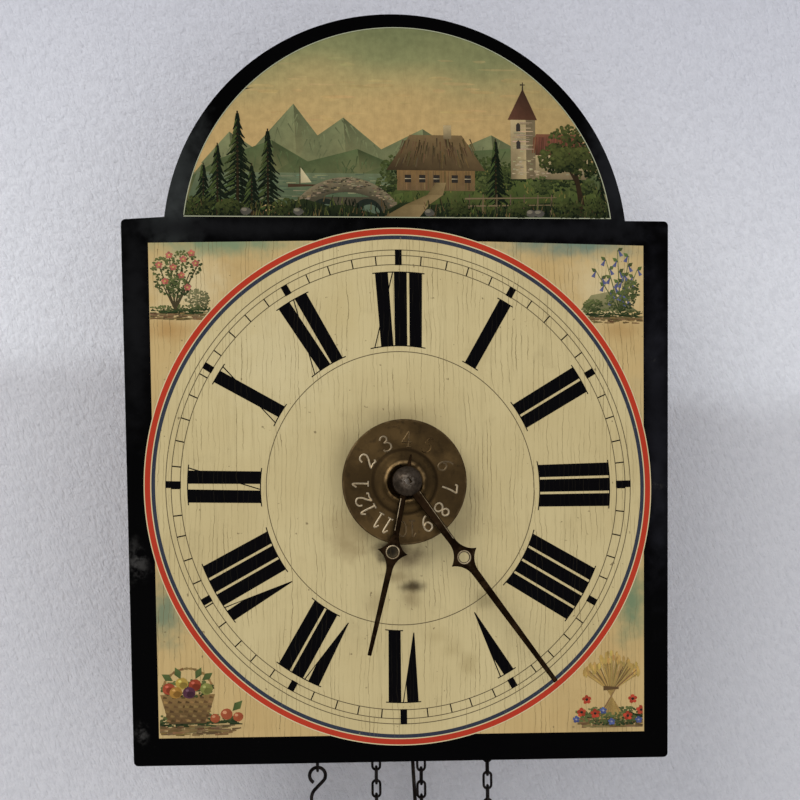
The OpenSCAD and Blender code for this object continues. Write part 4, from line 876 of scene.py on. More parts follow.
def paint_foreground(brush):
    """Dark ground with a path, firs, a broad tree, a fence, grass, bushes and stones."""
    chance = brush.chance
    brush.grow = (0, picture_low, 1, 1.25)
    dark, fresh = (0.005, 0.008, 0.004), (0.038, 0.052, 0.015)
    ground, bark = (0.016, 0.022, 0.008), (0.022, 0.014, 0.007)
    for k in range(36):
        a, b = -108 + 6.06 * k, -108 + 6.06 * (k + 1)
        za, zb = (137.2 + 1.9 * math.sin(x / 9) + 1.3 * math.sin(x / 4.1 + 1) for x in (a, b))
        brush.lay([(a, picture_low), (b, picture_low), (b, zb), (a, za)], [dark, dark, ground, ground])
    path = [(2, 133, 9), (10, 138, 6), (19, 142, 4), (22, 147, 2.6)]
    path_tones = [(0.10, 0.07, 0.028), (0.16, 0.11, 0.048), (0.20, 0.14, 0.062), (0.13, 0.09, 0.038)]
    for (x0, z0, w0), (x1, z1, w1) in zip(path, path[1:]):
        brush.lay([(x0 - w0, z0), (x0 + w0, z0), (x1 + w1, z1), (x1 - w1, z1)], path_tones)
    for x, low, high, wide in [(-97, 136, 153, 12), (-80, 136, 174, 21), (-90, 135, 161, 15),
                               (-65, 135, 167, 17), (-73, 134, 153, 12), (50, 138, 164, 13),
                               (104, 135, 148, 10)]:
        brush.fir(x, low, high, wide, dark, fresh)
    brush.stroke(95, 134, 90, 156, 3.4, bark)
    brush.stroke(92, 147, 84, 158, 1.6, bark)
    for x, z, wide, high in [(88, 164, 11, 7), (80, 157, 8, 5.5), (95, 156, 8, 6), (87, 157, 8, 5)]:
        brush.foliage(x, z, wide, high, 260, (0.006, 0.010, 0.004), (0.075, 0.083, 0.022), 0.95)
    for x in range(36, 82, 7):
        brush.stroke(x, 134.5, x + 0.5, 142.5, 1.1, brush.vary((0.10, 0.07, 0.04), 0.3))
    for z in (137.6, 140.6):
        brush.stroke(34, z, 81, z + 0.8, 0.7, (0.13, 0.095, 0.05))
    grasses = (dark, dark, (0.012, 0.017, 0.006), (0.028, 0.038, 0.011), (0.062, 0.066, 0.018),
               (0.075, 0.05, 0.02))
    for k in range(700):
        x = chance.uniform(-106, 107)
        if abs(x - 5) > 9:
            z = picture_low + (4 + 3 * abs(math.sin(x / 21))) * chance.random() ** 1.3
            tone = chance.choice(grasses)
            end_x, end_z = x + chance.uniform(-1.2, 1.2), z + chance.uniform(0.8, 2.2)
            brush.stroke(x, z - 1.0, end_x, end_z, 0.6, brush.vary(tone, 0.3))
    for x, wide, high in [(-99, 8, 5), (-56, 7, 4), (31, 6, 3), (87, 9, 4), (101, 6, 6), (-84, 7, 3.4),
                          (62, 6, 3)]:
        brush.foliage(x, 136, wide, high, 150, (0.004, 0.007, 0.003), (0.052, 0.062, 0.017), 0.85)
    for x in (-76, -50, 16, 68, 72):
        brush.dab(x, 134.8, 3.2, 1.8, (0.06, 0.055, 0.042), 9)
        brush.dab(x - 0.8, 135.4, 1.7, 0.8, (0.15, 0.13, 0.09), 8)


def picture_paint():
    """Oil paint that takes its colour from the mesh, mottled and finely cracked."""
    material, tree, shader, where = finish("picture_paint", Specular_IOR_Level=0.02)
    paint = add(tree, "ShaderNodeVertexColor", layer_name="paint").outputs["Color"]
    lines = cracks(tree, where)[0]
    mottle = noise(tree, where, 260.0, 5.0, 0.65)
    tone = step(tree, mottle, 0.25, 0.75, 0.88, 1.12)
    colour = add(tree, "ShaderNodeHueSaturation", {"Value": tone, "Color": paint}).outputs[0]
    colour = blend(tree, times(tree, lines, 0.12), colour, (0.05, 0.04, 0.022))
    rough = step(tree, mottle, 0.3, 0.7, 0.36, 0.55)
    wire(tree, shader, colour, rough, mottle, depth=0.00012, strength=0.35)
    return material


old_picture = picture_paint()
arch_brush = Brush(7, in_arch)
for paint in (paint_sky, paint_mountains, paint_lake, paint_meadow, paint_chapel, paint_farmhouse,
              paint_bridge, paint_foreground):
    paint(arch_brush)
on_shield("arch_picture", arch_brush.mesh("arch_picture"), old_picture)
low_turn = math.degrees(math.asin((picture_low - picture_z) / picture_r))
frame_green = line_paint("frame_green", (0.36, 0.37, 0.25), (0.27, 0.28, 0.18), (0.08, 0.07, 0.04))
frame_line = (arc(picture_x, picture_z, picture_r + frame_over, low_turn, 180 - low_turn, 120)
              + arc(picture_x, picture_z, picture_r - frame_under, 180 - low_turn, low_turn, 120))
for name, outline, lift in [("picture_arc_line", frame_line, frame_lift),
                            ("picture_base_line", base_line, base_lift)]:
    on_shield(name, sheet(name, [outline], lift), frame_green)

# Corner pictures: four small plant pieces on the cream panel, one in each corner outside the dial.
# They are painted as the arch picture is: a rose bush, bellflowers, a fruit basket and a sheaf with poppies.
leaf_dark, leaf_light, earth = (0.020, 0.030, 0.011), (0.125, 0.14, 0.045), (0.13, 0.085, 0.036)
corner_sides = {(-1, 1): 123.4, (1, 1): 124.6, (-1, -1): 119.2, (1, -1): 120.8}
corner_ends = {1: 118.2, -1: 122.6}
clear_r, clear_drop = 128.6, 3


def in_corner(side_x, side_z, base=(0, 0), target=(0, 0), grow=1.0):
    """Sets a corner picture to its size and keeps it inside the panel and outside the rings."""
    def keep_in(x, z):
        x, z = target[0] + (x - base[0]) * grow, target[1] + (z - base[1]) * grow
        x = max(min(x * side_x, corner_sides[side_x, side_z]), 0) * side_x
        z = max(min(z * side_z, corner_ends[side_z]), 0) * side_z
        far = math.hypot(x, z + clear_drop)
        if far < clear_r:
            x, z = x * clear_r / far, (z + clear_drop) * clear_r / far - clear_drop
        return x, z
    return keep_in


def mound(brush, left, right, z):
    """Uneven ground with grass on it and brown earth below."""
    chance = brush.chance
    for k in range(130):
        x, low = chance.uniform(left, right - 2), chance.random()
        end_x, end_z = x + chance.uniform(2, 5), z - 5 * low + chance.uniform(-0.4, 0.4)
        brush.stroke(x, z - 5 * low, end_x, end_z, 0.8, brush.vary(earth if low > 0.4 else leaf_dark, 0.45))
    brush.foliage((left + right) / 2, z + 0.6, (right - left) / 2, 1.7, 150, leaf_dark, leaf_light, 0.65)


def blossom(brush, x, z, size, outer, heart):
    for k in range(5):
        turn = 1.2566 * k + 0.4
        shade = brush.vary(outer, 0.25)
        brush.dab(x + size * math.cos(turn), z + size * math.sin(turn), size * 0.85, size * 0.75, shade, 6)
    brush.dab(x, z, size * 0.6, size * 0.55, heart, 6)


def leaf(brush, x, z, turn, long, tone):
    dx, dz = math.cos(turn) * long, math.sin(turn) * long
    outline = [(x, z), (x + dx * 0.5 + dz * 0.28, z + dz * 0.5 - dx * 0.28), (x + dx, z + dz),
               (x + dx * 0.5 - dz * 0.28, z + dz * 0.5 + dx * 0.28)]
    brush.lay(outline, [tone, brush.vary(tone, 0.3), toned(tone, 1.5), tone])


def rose_bush(brush):
    brush.foliage(-100, 91, 6, 5, 150, (0.06, 0.06, 0.026), (0.20, 0.185, 0.085), 0.8)
    mound(brush, -124, -93, 86)
    for x, z in [(-119, 108), (-114, 113), (-107, 112), (-100, 108), (-117, 98), (-104, 104)]:
        brush.stroke(-111, 86, x, z, 1.0, (0.045, 0.036, 0.017))
    for x, z, wide, high in [(-116, 104, 7, 9), (-107, 108, 9, 7), (-111, 97, 8, 5)]:
        brush.foliage(x, z, wide, high, 150, leaf_dark, leaf_light, 0.8)
    for x, z in [(-119, 108), (-114, 113), (-107, 111), (-101, 109), (-116, 100), (-108, 103), (-112, 107),
                 (-103, 114), (-105, 97)]:
        blossom(brush, x, z, 1.1, (0.34, 0.10, 0.07), (0.40, 0.27, 0.08))


def bellflowers(brush):
    root_x, root_z = 113, 85
    brush.lay([(92, 86), (122, 86), (108, 96), (98, 94)],
              [(0.13, 0.125, 0.055), (0.10, 0.10, 0.045), (0.24, 0.21, 0.10), (0.20, 0.185, 0.085)])
    mound(brush, 93, 125, root_z)
    for k, (x, z) in enumerate([(106, 112), (112, 117), (118, 114), (122, 107), (101, 106), (115, 104)]):
        brush.stroke(root_x, root_z, x, z, 0.7, leaf_dark, leaf_light)
        for part in range(5):
            share = 0.3 + 0.17 * part
            px, pz = root_x + (x - root_x) * share, root_z + (z - root_z) * share
            side = 1 if (part + k) % 2 else -1
            leaf(brush, px, pz, 1.57 - side * 0.9, 3.6, brush.vary((0.055, 0.075, 0.024), 0.35))
            brush.lay([(px + side * 0.4, pz + 1), (px + side * 3.0, pz - 2.0), (px + side * 1.2, pz - 2.7)],
                      [(0.04, 0.045, 0.11), (0.12, 0.125, 0.22), (0.06, 0.065, 0.15)])
    for x, z, wide, high in [(113, 91, 8, 5), (99, 89, 5, 3), (119, 97, 4, 6)]:
        brush.foliage(x, z, wide, high, 130, leaf_dark, leaf_light, 0.75)


def fruit_basket(brush):
    wicker, wicker_dim, leaf_green = (0.19, 0.115, 0.042), (0.08, 0.047, 0.02), (0.05, 0.07, 0.022)
    fruits = [(-114, -101, (0.26, 0.05, 0.022)), (-109.5, -99.2, (0.33, 0.22, 0.045)),
              (-105, -99.8, (0.22, 0.04, 0.018)), (-101, -101.2, (0.17, 0.17, 0.045)),
              (-107, -102.4, (0.07, 0.025, 0.04)), (-111.6, -102.3, (0.28, 0.14, 0.03))]
    mound(brush, -120, -90, -112)
    brush.lay([(-114, -113), (-101, -113), (-98, -103), (-117, -103)],
              [wicker_dim, wicker_dim, wicker, wicker])
    for row in range(6):
        for k in range(11):
            x = -116 + 1.6 * k + 0.25 * row * (1 if k < 5 else -1)
            brush.stroke(x, -103.9 - 1.6 * row, x + 1.3, -104.2 - 1.6 * row, 1.0,
                         brush.vary(wicker if (k + row) % 2 else (0.085, 0.05, 0.02), 0.25))
    hoop = arc(-107.5, -103, 9, 12, 168, 16)
    for (x0, z0), (x1, z1) in zip(hoop, hoop[1:]):
        brush.stroke(x0, z0, x1, z1, 1.0, brush.vary(wicker, 0.3))
    brush.foliage(-107.5, -101, 9, 3, 110, leaf_dark, leaf_light, 0.8)
    for x, z, tone in fruits:
        brush.dab(x, z, 2.3, 2.1, tone, 12, 0.06)
        brush.dab(x + 0.5, z - 0.6, 1.6, 1.2, toned(tone, 0.6), 9, 0.2)
        brush.dab(x - 0.7, z + 0.8, 0.7, 0.5, tuple(min(0.5, 1.7 * c + 0.03) for c in tone), 7)
    for turn in (0.6, 1.1, 2.0, 2.6):
        leaf(brush, -107.5 + 6 * math.cos(turn), -99 + 1.5 * math.sin(turn), turn, 4.5, leaf_green)
    for x, z, size in [(-94, -110, 2.2), (-90, -111, 1.9), (-98, -111.4, 1.8)]:
        brush.dab(x, z, size, size * 0.9, (0.25, 0.06, 0.025), 11, 0.08)
        brush.dab(x - 0.6, z + 0.6, size * 0.4, size * 0.3, (0.42, 0.2, 0.1), 7)
    leaf(brush, -92, -109, 0.8, 5.0, leaf_green)


def corn_sheaf(brush):
    chance = brush.chance
    straw, band_z, middle = (0.31, 0.205, 0.065), -104, 107
    mound(brush, 94, 119, -113)
    for k in range(70):
        lean = (k - 34.5) / 34.5
        tip_x = middle + 10 * lean + chance.uniform(-1, 1)
        tip_z = -92 - 6 * abs(lean) + chance.uniform(-2.5, 1.5)
        tone = brush.vary(straw if k % 3 else (0.13, 0.08, 0.03), 0.25)
        brush.stroke(middle - 5 * lean, -115, middle + 1.8 * lean, band_z, 0.55, tone)
        brush.stroke(middle + 1.8 * lean, band_z, tip_x, tip_z, 0.55, tone)
        brush.dab(tip_x, tip_z, 0.6, 1.5, brush.vary((0.34, 0.22, 0.065), 0.25), 6)
    brush.stroke(104.2, band_z, 109.8, band_z, 1.6, (0.09, 0.052, 0.022))
    brush.foliage(middle, -115, 12, 2.4, 150, leaf_dark, leaf_light, 0.7)
    for x, z in [(98, -108), (101, -113), (115, -108), (113, -114), (96, -112.5), (118, -112)]:
        blossom(brush, x, z, 1.05, (0.31, 0.04, 0.02), (0.02, 0.015, 0.012))
    for x, z in [(94, -115), (117, -115.5), (107, -116), (104, -112)]:
        blossom(brush, x, z, 0.8, (0.06, 0.075, 0.18), (0.2, 0.2, 0.26))


for name, seed, paint, keep_in in [
        ("rose_corner", 11, rose_bush, in_corner(-1, 1)),
        ("bellflower_corner", 12, bellflowers, in_corner(1, 1)),
        ("basket_corner", 13, fruit_basket, in_corner(-1, -1, (-117, -117), (-119, -122), 1.4)),
        ("sheaf_corner", 14, corn_sheaf, in_corner(1, -1, (118, -118), (120, -122.5), 1.38))]:
    brush = Brush(seed, keep_in)
    paint(brush)
    on_shield(name, brush.mesh(name), old_picture)

# Alarm disc: brass with a raised ring in front of the dial, turned in one piece with its pipe.
# Its hours are punched up from behind and stand proud as thin ridges; most of them carry a painted highlight.
# The brass has gone brown, with dark patches; a painted highlight lies on the crest of its raised ring.
digit_r, digit_h, digit_w, digit_ridge, digit_sunk = 22.0, 7.6, 0.95, 0.34, 0.05
digit_next, digit_space = 0.66 * digit_h, 0.06 * digit_h
digit_off = (0.3, -1.1)
disc_lift, disc_thick, disc_parts = 15.2, 1.2, 128
crest_r, foot_r, rim_from, rim_full = 9.3, 15.8, 29.5, 30.6
digit_turns = [2.5, 31.2, 65.0, 96.0, 125.3, 152.3, 178.0, 211.4, 243.1, 270.7, 301.7, 334.0]
# How much painted highlight each hour takes, from 4 round to 3.
digit_highlight = [0.05, 0.0, 0.15, 0.9, 1.0, 1.0, 0.1, 1.0, 1.0, 0.9, 1.0, 0.5]
digit_paths = {
    "1": [[(0.08, 0.78), (0.3, 1.0), (0.3, 0.0)], [(0.12, 0.0), (0.48, 0.0)]],
    "2": [[(0.03, 0.72), (0.1, 0.92), (0.3, 1.0), (0.5, 0.92), (0.56, 0.74), (0.45, 0.5), (0.2, 0.25),
           (0.03, 0.02), (0.3, 0.06), (0.5, 0.0), (0.6, 0.14)]],
    "3": [[(0.05, 0.84), (0.2, 0.98), (0.42, 0.96), (0.52, 0.8), (0.44, 0.64), (0.24, 0.56), (0.46, 0.5),
           (0.58, 0.3), (0.5, 0.08), (0.28, 0.0), (0.06, 0.08), (0.03, 0.2)]],
    "4": [[(0.42, 0.0), (0.42, 1.0)], [(0.42, 1.0), (0.0, 0.3)], [(0.0, 0.3), (0.62, 0.3)],
          [(0.28, 0.0), (0.56, 0.0)]],
    "5": [[(0.54, 0.98), (0.16, 0.98)],
          [(0.16, 0.98), (0.1, 0.56), (0.3, 0.62), (0.5, 0.52), (0.57, 0.3), (0.46, 0.07), (0.24, 0.0),
           (0.04, 0.1)]],
    "6": [[(0.5, 0.96), (0.3, 0.86), (0.12, 0.6), (0.05, 0.3), (0.14, 0.07), (0.32, 0.0), (0.5, 0.1),
           (0.56, 0.3), (0.46, 0.5), (0.28, 0.55), (0.1, 0.42)]],
    "7": [[(0.04, 0.84), (0.06, 0.98)], [(0.06, 0.98), (0.57, 0.98)],
          [(0.57, 0.98), (0.36, 0.5), (0.24, 0.0)]],
    "8": [[(0.3, 0.54), (0.1, 0.68), (0.1, 0.88), (0.3, 1.0), (0.5, 0.88), (0.5, 0.68), (0.3, 0.54),
           (0.06, 0.36), (0.05, 0.12), (0.3, 0.0), (0.55, 0.12), (0.54, 0.36), (0.3, 0.54)]],
    "0": [[(0.3, 1.0), (0.1, 0.82), (0.04, 0.5), (0.1, 0.18), (0.3, 0.0), (0.5, 0.18), (0.56, 0.5),
           (0.5, 0.82), (0.3, 1.0)]]}
digit_paths["9"] = [[(0.6 - x, 1 - y) for x, y in path] for path in digit_paths["6"]]


def smoothed(path, steps=5):
    """A curve through the given points."""
    if len(path) < 3:
        return path
    ends = [path[0]] + path + [path[-1]]
    result = []
    for corners in zip(ends, ends[1:], ends[2:], ends[3:]):
        for k in range(steps):
            t = k / steps
            result.append(tuple(0.5 * (2 * q + (r - p) * t + (2 * p - 5 * q + 4 * r - s) * t * t
                                       + (3 * q - p - 3 * r + s) * t ** 3) for p, q, r, s in zip(*corners)))
    return result + [path[-1]]


def ridge(verts, faces, line, wide, low, high):
    """A ridge with a crest along a line: left foot, crest and right foot at each point."""
    first = len(verts)
    for k, (x, y) in enumerate(line):
        x0, y0 = line[max(k - 1, 0)]
        x1, y1 = line[min(k + 1, len(line) - 1)]
        long = math.hypot(x1 - x0, y1 - y0) or 1.0
        nx, ny = -(y1 - y0) / long * wide / 2, (x1 - x0) / long * wide / 2
        verts += [on_dial(x + nx, y + ny, low), on_dial(x, y, high), on_dial(x - nx, y - ny, low)]
    for k in range(len(line) - 1):
        a = first + 3 * k
        faces += [(a, a + 1, a + 4, a + 3), (a + 1, a + 2, a + 5, a + 4)]
    last = first + 3 * (len(line) - 1)
    faces += [(first + 2, first + 1, first), (last, last + 1, last + 2)]


def disc_digits(name):
    """The hours of the disc, with 4 at the top, each with how much painted highlight it takes."""
    verts, faces, highlight_share = [], [], []
    for k in range(12):
        shown, turn = str((3 + k) % 12 + 1), math.radians(digit_turns[k])
        wide = digit_next * len(shown) - digit_space
        for place, sign in enumerate(shown):
            for path in digit_paths[sign]:
                line = []
                for x, y in smoothed(path):
                    across = x * digit_h + place * digit_next - wide / 2
                    px, py = turned(across, digit_r + (y - 0.5) * digit_h, turn)
                    line.append((px + digit_off[0], py + digit_off[1]))
                ridge(verts, faces, line, digit_w, disc_lift - digit_sunk, disc_lift + digit_ridge)
        highlight_share += [digit_highlight[k]] * (len(verts) - len(highlight_share))
    mesh = mesh_from(name, verts, faces)
    mesh.attributes.new("highlight_share", "FLOAT", "POINT").data.foreach_set("value", highlight_share)
    face_forwards(mesh)
    return mesh


def old_metal_group():
    """Tarnish on metal: broad clouds, small dark pits and fine scratches."""
    tree, given, result = group("old_metal", {"Vector": "Vector", "Scale": "Float"},
                                {"Tarnish": "Float", "Pits": "Float", "Scratches": "Float"})
    values = {0: given["Vector"], "Scale": given["Scale"]}
    scaled = add(tree, "ShaderNodeVectorMath", values, operation="SCALE").outputs[0]
    tree.links.new(step(tree, noise(tree, scaled, 60.0, 6.0, 0.62), 0.36, 0.66), result["Tarnish"])
    tree.links.new(step(tree, noise(tree, scaled, 340.0, 4.0, 0.6), 0.56, 0.70), result["Pits"])
    scratches = noise(tree, scaled, 120.0, 5.0, 0.7, (1.0, 6.0, 14.0))
    tree.links.new(step(tree, scratches, 0.54, 0.66), result["Scratches"])
    return tree


old_metal = old_metal_group()


def metal(name, bright, brown, pit, rough=0.35, scale=1.0):
    """Old metal: bright where rubbed, brown where tarnished, dark in the pits."""
    material, tree, shader, where = finish(name, Metallic=1.0)
    age = add(tree, "ShaderNodeGroup", {"Vector": where, "Scale": scale}, node_tree=old_metal).outputs
    colour = blend(tree, age["Tarnish"], bright, brown)
    colour = blend(tree, times(tree, age["Scratches"], 0.35), colour, bright)
    colour = blend(tree, times(tree, age["Pits"], 0.8), colour, pit)
    dull = step(tree, age["Tarnish"], 0.0, 1.0, rough, rough + 0.25)
    wire(tree, shader, colour, dull, age["Pits"], depth=-0.0001, strength=0.4)
    return material, tree, shader, where, colour


def from_axis(tree, where):
    """The distance in metres from the axis of the hands."""
    off = vectors(tree, "SUBTRACT", where, dial)
    return length(tree, vectors(tree, "MULTIPLY", off, (1.0, 0.0, 1.0)))


def disc_brass():
    """Brown old brass with a painted highlight in patches on the crest of the raised ring, and dark at its
    foot.
    """
    material, tree, shader, where, colour = metal(
        "disc_brass", (0.052, 0.032, 0.0125), (0.040, 0.025, 0.0105), (0.030, 0.019, 0.0085), 0.36, 0.8)
    far = from_axis(tree, where)
    crest, foot = (maths(tree, "ABSOLUTE", maths(tree, "SUBTRACT", far, r / 1000)) for r in (crest_r, foot_r))
    colour = blend(tree, step(tree, foot, 0.0003, 0.0013, 0.75, 0.0), colour, (0.018, 0.011, 0.005))
    # Painted highlight in patches on the crest of the raised ring.
    patches = step(tree, noise(tree, where, 90.0), 0.36, 0.56)
    rubbing_and_highlight = times(tree, step(tree, crest, 0.0002, 0.0017, 0.9, 0.0), patches)
    colour = blend(tree, rubbing_and_highlight, colour, (0.36, 0.235, 0.105))
    patches = step(tree, noise(tree, where, 220.0), 0.4, 0.65)
    rim = times(tree, step(tree, far, rim_from / 1000, rim_full / 1000, 0.0, 0.6), patches)
    colour = blend(tree, rim, colour, (0.13, 0.085, 0.04))
    tree.links.new(colour, shader.inputs["Base Color"])
    return material


def digit_brass():
    """The brass of the disc on the dull hours, with a painted highlight in patches on the others."""
    material, tree, shader, where, colour = metal(
        "digit_brass", (0.20, 0.125, 0.05), (0.07, 0.042, 0.018), (0.03, 0.018, 0.008), 0.34, 1.3)
    highlight_share = add(tree, "ShaderNodeAttribute", attribute_name="highlight_share").outputs["Fac"]
    # Painted highlight on the brighter hours, in patches.
    wear_and_highlight = times(tree, highlight_share, step(tree, noise(tree, where, 260.0, 3.0), 0.25, 0.5, 0.5, 1.0))
    tree.links.new(blend(tree, wear_and_highlight, colour, (0.66, 0.54, 0.36)), shader.inputs["Base Color"])
    return material


def turned_disc(name):
    """The disc and its pipe, turned: flat face, hollow round the boss and rounded crest round the bore."""
    low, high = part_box("alarm_disc")
    back, crest = (shield_low.y - high.y) * 1000, (shield_low.y - low.y) * 1000
    places = [v.co for v in frame["nodes"]["alarm_disc"].data.vertices]
    reach = [(math.hypot(p.x - dial.x, p.z - dial.z) * 1000, p.y) for p in places]
    edge, bore = max(reach)[0], min(reach)[0]
    pipe = max(r for r, y in reach if y > high.y - 1e-5)
    rim = [(pipe, -disc_thick), (edge - 0.4, -disc_thick), (edge, -0.8), (edge, -0.4), (edge - 0.15, -0.1)]
    face = [(edge - 0.5, 0.0), (edge - 5, 0.0), (17.6, 0.0), (16.6, -0.12), (foot_r, 0.0), (14.6, 0.55),
            (13.2, 0.85), (11.8, 1.1), (10.8, 1.6)]
    ring = [(bore, back), (pipe, back)] + [(r, disc_lift + lift) for r, lift in rim + face]
    ring += [(10.1, crest - 0.25), (crest_r, crest), (8.5, crest - 0.3), (7.7, crest - 1.0)]
    ring += [(pipe + 0.4, disc_lift + 1.0), (bore, disc_lift + 1.0)]
    verts, faces, around = [], [], len(ring)
    for k in range(disc_parts):
        turn = 2 * math.pi * k / disc_parts
        verts += [on_dial(r * math.cos(turn), r * math.sin(turn), lift) for r, lift in ring]
        a, b = k * around, (k + 1) % disc_parts * around
        faces += [(a + i, a + (i + 1) % around, b + (i + 1) % around, b + i) for i in range(around)]
    mesh = mesh_from(name, verts, faces)
    mesh.set_sharp_from_angle(angle=math.radians(50))
    return mesh


disc_mesh = turned_disc("turned_alarm_disc")
disc = piece("turned_alarm_disc", disc_mesh, "alarm_disc_set", disc_brass())
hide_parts("alarm_disc")
piece("alarm_hours", disc_digits("alarm_hours"), "alarm_disc_set", digit_brass(), False)

# Hands: sawn from sheet steel, filed to shape with a pierced star, their edges broken and left dark brown.
# The hour hand has a short pointed tail that shows the alarm hour on the disc.
# The bright strips round each eye and along one side of each stem are painted highlights.
star_high, star_wide, star_hollow, eye_r = 9.5, 7.7, 10.6, 2.5
tail_root, tail_tip, hand_bevel = 1.1, 0.35, 0.38
eye_rim = [(0.3, -0.02), (0.62, 0.16), (0.95, -0.02)]
stem_edge = [(0.75, -0.02), (0.55, 0.06), (0.4, -0.02)]
eye_parts, stem_parts = 36, 12


def hand_outline(long, star, hub, neck_w, root_w, tip, tail, lean):
    """Right side from the tip to the hub, then the left side back; the tail is a narrow point."""
    swing = math.degrees(math.atan2(star_high, neck_w / 2 + star_hollow - star_wide))
    centre_x = neck_w / 2 + star_hollow
    right = [(tip / 2, long)]
    right += arc(centre_x, star + star_high, star_hollow, 180, 180 + swing, 8)
    right += arc(centre_x, star - star_high, star_hollow, 180 - swing, 180, 8)[1:]
    root = math.degrees(math.asin(root_w / 2 / hub))
    if tail:
        tail_turn = math.degrees(math.asin(tail_root / hub))
        right += arc(0, 0, hub, 90 - root, -90 + tail_turn, 14) + [(tail_tip, -tail)]
    else:
        right += arc(0, 0, hub, 90 - root, -89, 16)
    left = [(-x, y) for x, y in reversed(right)]
    return [(tip / 2 + lean, long)] + right[1:] + left[:-1] + [(lean - tip / 2, long)]


def hand_steel():
    """Dark brown steel, a little lighter near the hub where it is handled."""
    material, tree, shader, where, colour = metal(
        "dark_steel", (0.012, 0.0065, 0.003), (0.0055, 0.003, 0.0015), (0.003, 0.0016, 0.0009), 0.34, 1.4)
    edge = step(tree, noise(tree, where, 300.0, 3.0), 0.56, 0.7, 0.0, 0.5)
    colour = blend(tree, edge, colour, (0.026, 0.017, 0.009))
    far = length(tree, vectors(tree, "SUBTRACT", where, dial))
    patches = step(tree, noise(tree, where, 120.0), 0.3, 0.6, 0.5, 1.0)
    handled = times(tree, step(tree, far, 0.044, 0.062, 0.75, 0.0), patches)
    tree.links.new(blend(tree, handled, colour, (0.022, 0.015, 0.010)), shader.inputs["Base Color"])
    return material


def strip(verts, faces, rows, closed):
    """Faces along rows of three places, round to the first row where the strip is closed."""
    first = len(verts)
    for row in rows:
        verts += row
    for k in range(len(rows) if closed else len(rows) - 1):
        a, b = first + 3 * k, first + 3 * ((k + 1) % len(rows))
        faces += [(a, b, b + 1, a + 1), (a + 1, b + 1, b + 2, a + 2)]


dark_steel = hand_steel()
# Bright steel for the painted highlights round the eyes and along the stems.
highlight_steel = metal("highlight_steel", (0.34, 0.27, 0.17), (0.12, 0.085, 0.045), (0.02, 0.013, 0.008),
                     0.36, 1.5)[0]
for node, body, clockwise, long, star, hub, neck_w, root_w, tip, tail, bore, lean in [
        ("hour_hand", "hour_hand_set", 191.4, 86.2, 35, 7.0, 3.0, 3.0, 1.9, 13.5, 4.6, 1.8),
        ("minute_hand", "minute_hand_set", 143.5, 121.6, 46.2, 6.2, 3.6, 5.0, 2.2, 0, 2.8, 0.4)]:
    hand_low, hand_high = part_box(node)
    back, front = (shield_low.y - hand_high.y) * 1000, (shield_low.y - hand_low.y) * 1000

    def on_hand(x, y, lift):
        return on_dial(*turned(x, y, math.radians(clockwise)), lift)

    outline = hand_outline(long, star, hub, neck_w, root_w, tip, tail, lean)
    holes = [arc(0, 0, bore, 0, 350, 35), arc(0, star, eye_r, 0, 345, 23)]
    mesh = plate(node + "_filed", outline, holes, on_hand, back, front)
    hand = piece(node + "_filed", mesh, body, dark_steel, False)
    soften(hand, hand_bevel)
    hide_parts(node)
    # Painted highlights: a bright strip round the star's eye and one along one side of the stem.
    verts, faces, rows = [], [], []
    for k in range(eye_parts):
        angle = 2 * math.pi * k / eye_parts
        across, up = math.cos(angle), math.sin(angle)
        rows.append([on_hand((eye_r + off) * across, star + (eye_r + off) * up, front + rise)
                     for off, rise in eye_rim])
    strip(verts, faces, rows, True)
    neck, side, rows = star - star_high, (1 if tail else -1), []
    for k in range(stem_parts + 1):
        y = hub + 1.5 + (neck - 2.5 - hub) * k / stem_parts
        half = root_w / 2 + (neck_w - root_w) / 2 * y / neck
        rows.append([on_hand(side * (half - off), y, front + rise) for off, rise in stem_edge])
    strip(verts, faces, rows, False)
    mesh = mesh_from(node + "_bright_edges", verts, faces)
    face_forwards(mesh)
    piece(node + "_bright_edges", mesh, body, highlight_steel, True)

# Hand nut and other filed steel. The nut holds the minute hand on its pipe and has gone brown.
# The arbors with their lantern pins, anchor, crutch, pallets, clicks, studs and detent are grey steel.
grey_steel = metal("grey_steel", (0.30, 0.27, 0.235), (0.13, 0.105, 0.08), (0.03, 0.022, 0.015), 0.34, 1.2)[0]


def nut_steel():
    """Brown steel with tool marks, bright only round the square hole where a key has turned it."""
    material, tree, shader, where, colour = metal(
        "nut_steel", (0.068, 0.051, 0.037), (0.032, 0.024, 0.017), (0.010, 0.008, 0.006), 0.4, 4.0)
    patches = step(tree, noise(tree, where, 700.0, 3.0, 0.6), 0.42, 0.6)
    keyed = times(tree, step(tree, from_axis(tree, where), 0.0026, 0.0048, 1.0, 0.0), patches)
    tree.links.new(blend(tree, keyed, colour, (0.12, 0.098, 0.076)), shader.inputs["Base Color"])
    return material


def dress(names, material):
    """Gives carried-over nodes their material."""
    for name in names:
        mesh = frame["nodes"][name].data
        mesh.materials.clear()
        mesh.materials.append(material)


dress(["hand_nut"], nut_steel())
dress(["great_arbor", "centre_arbor", "third_arbor", "escape_arbor", "anchor_arbor", "anchor", "crutch",
       "alarm_arbor", "hammer_arbor", "hammer_pallets", "going_click", "alarm_click", "motion_studs",
       "alarm_detent"], grey_steel)

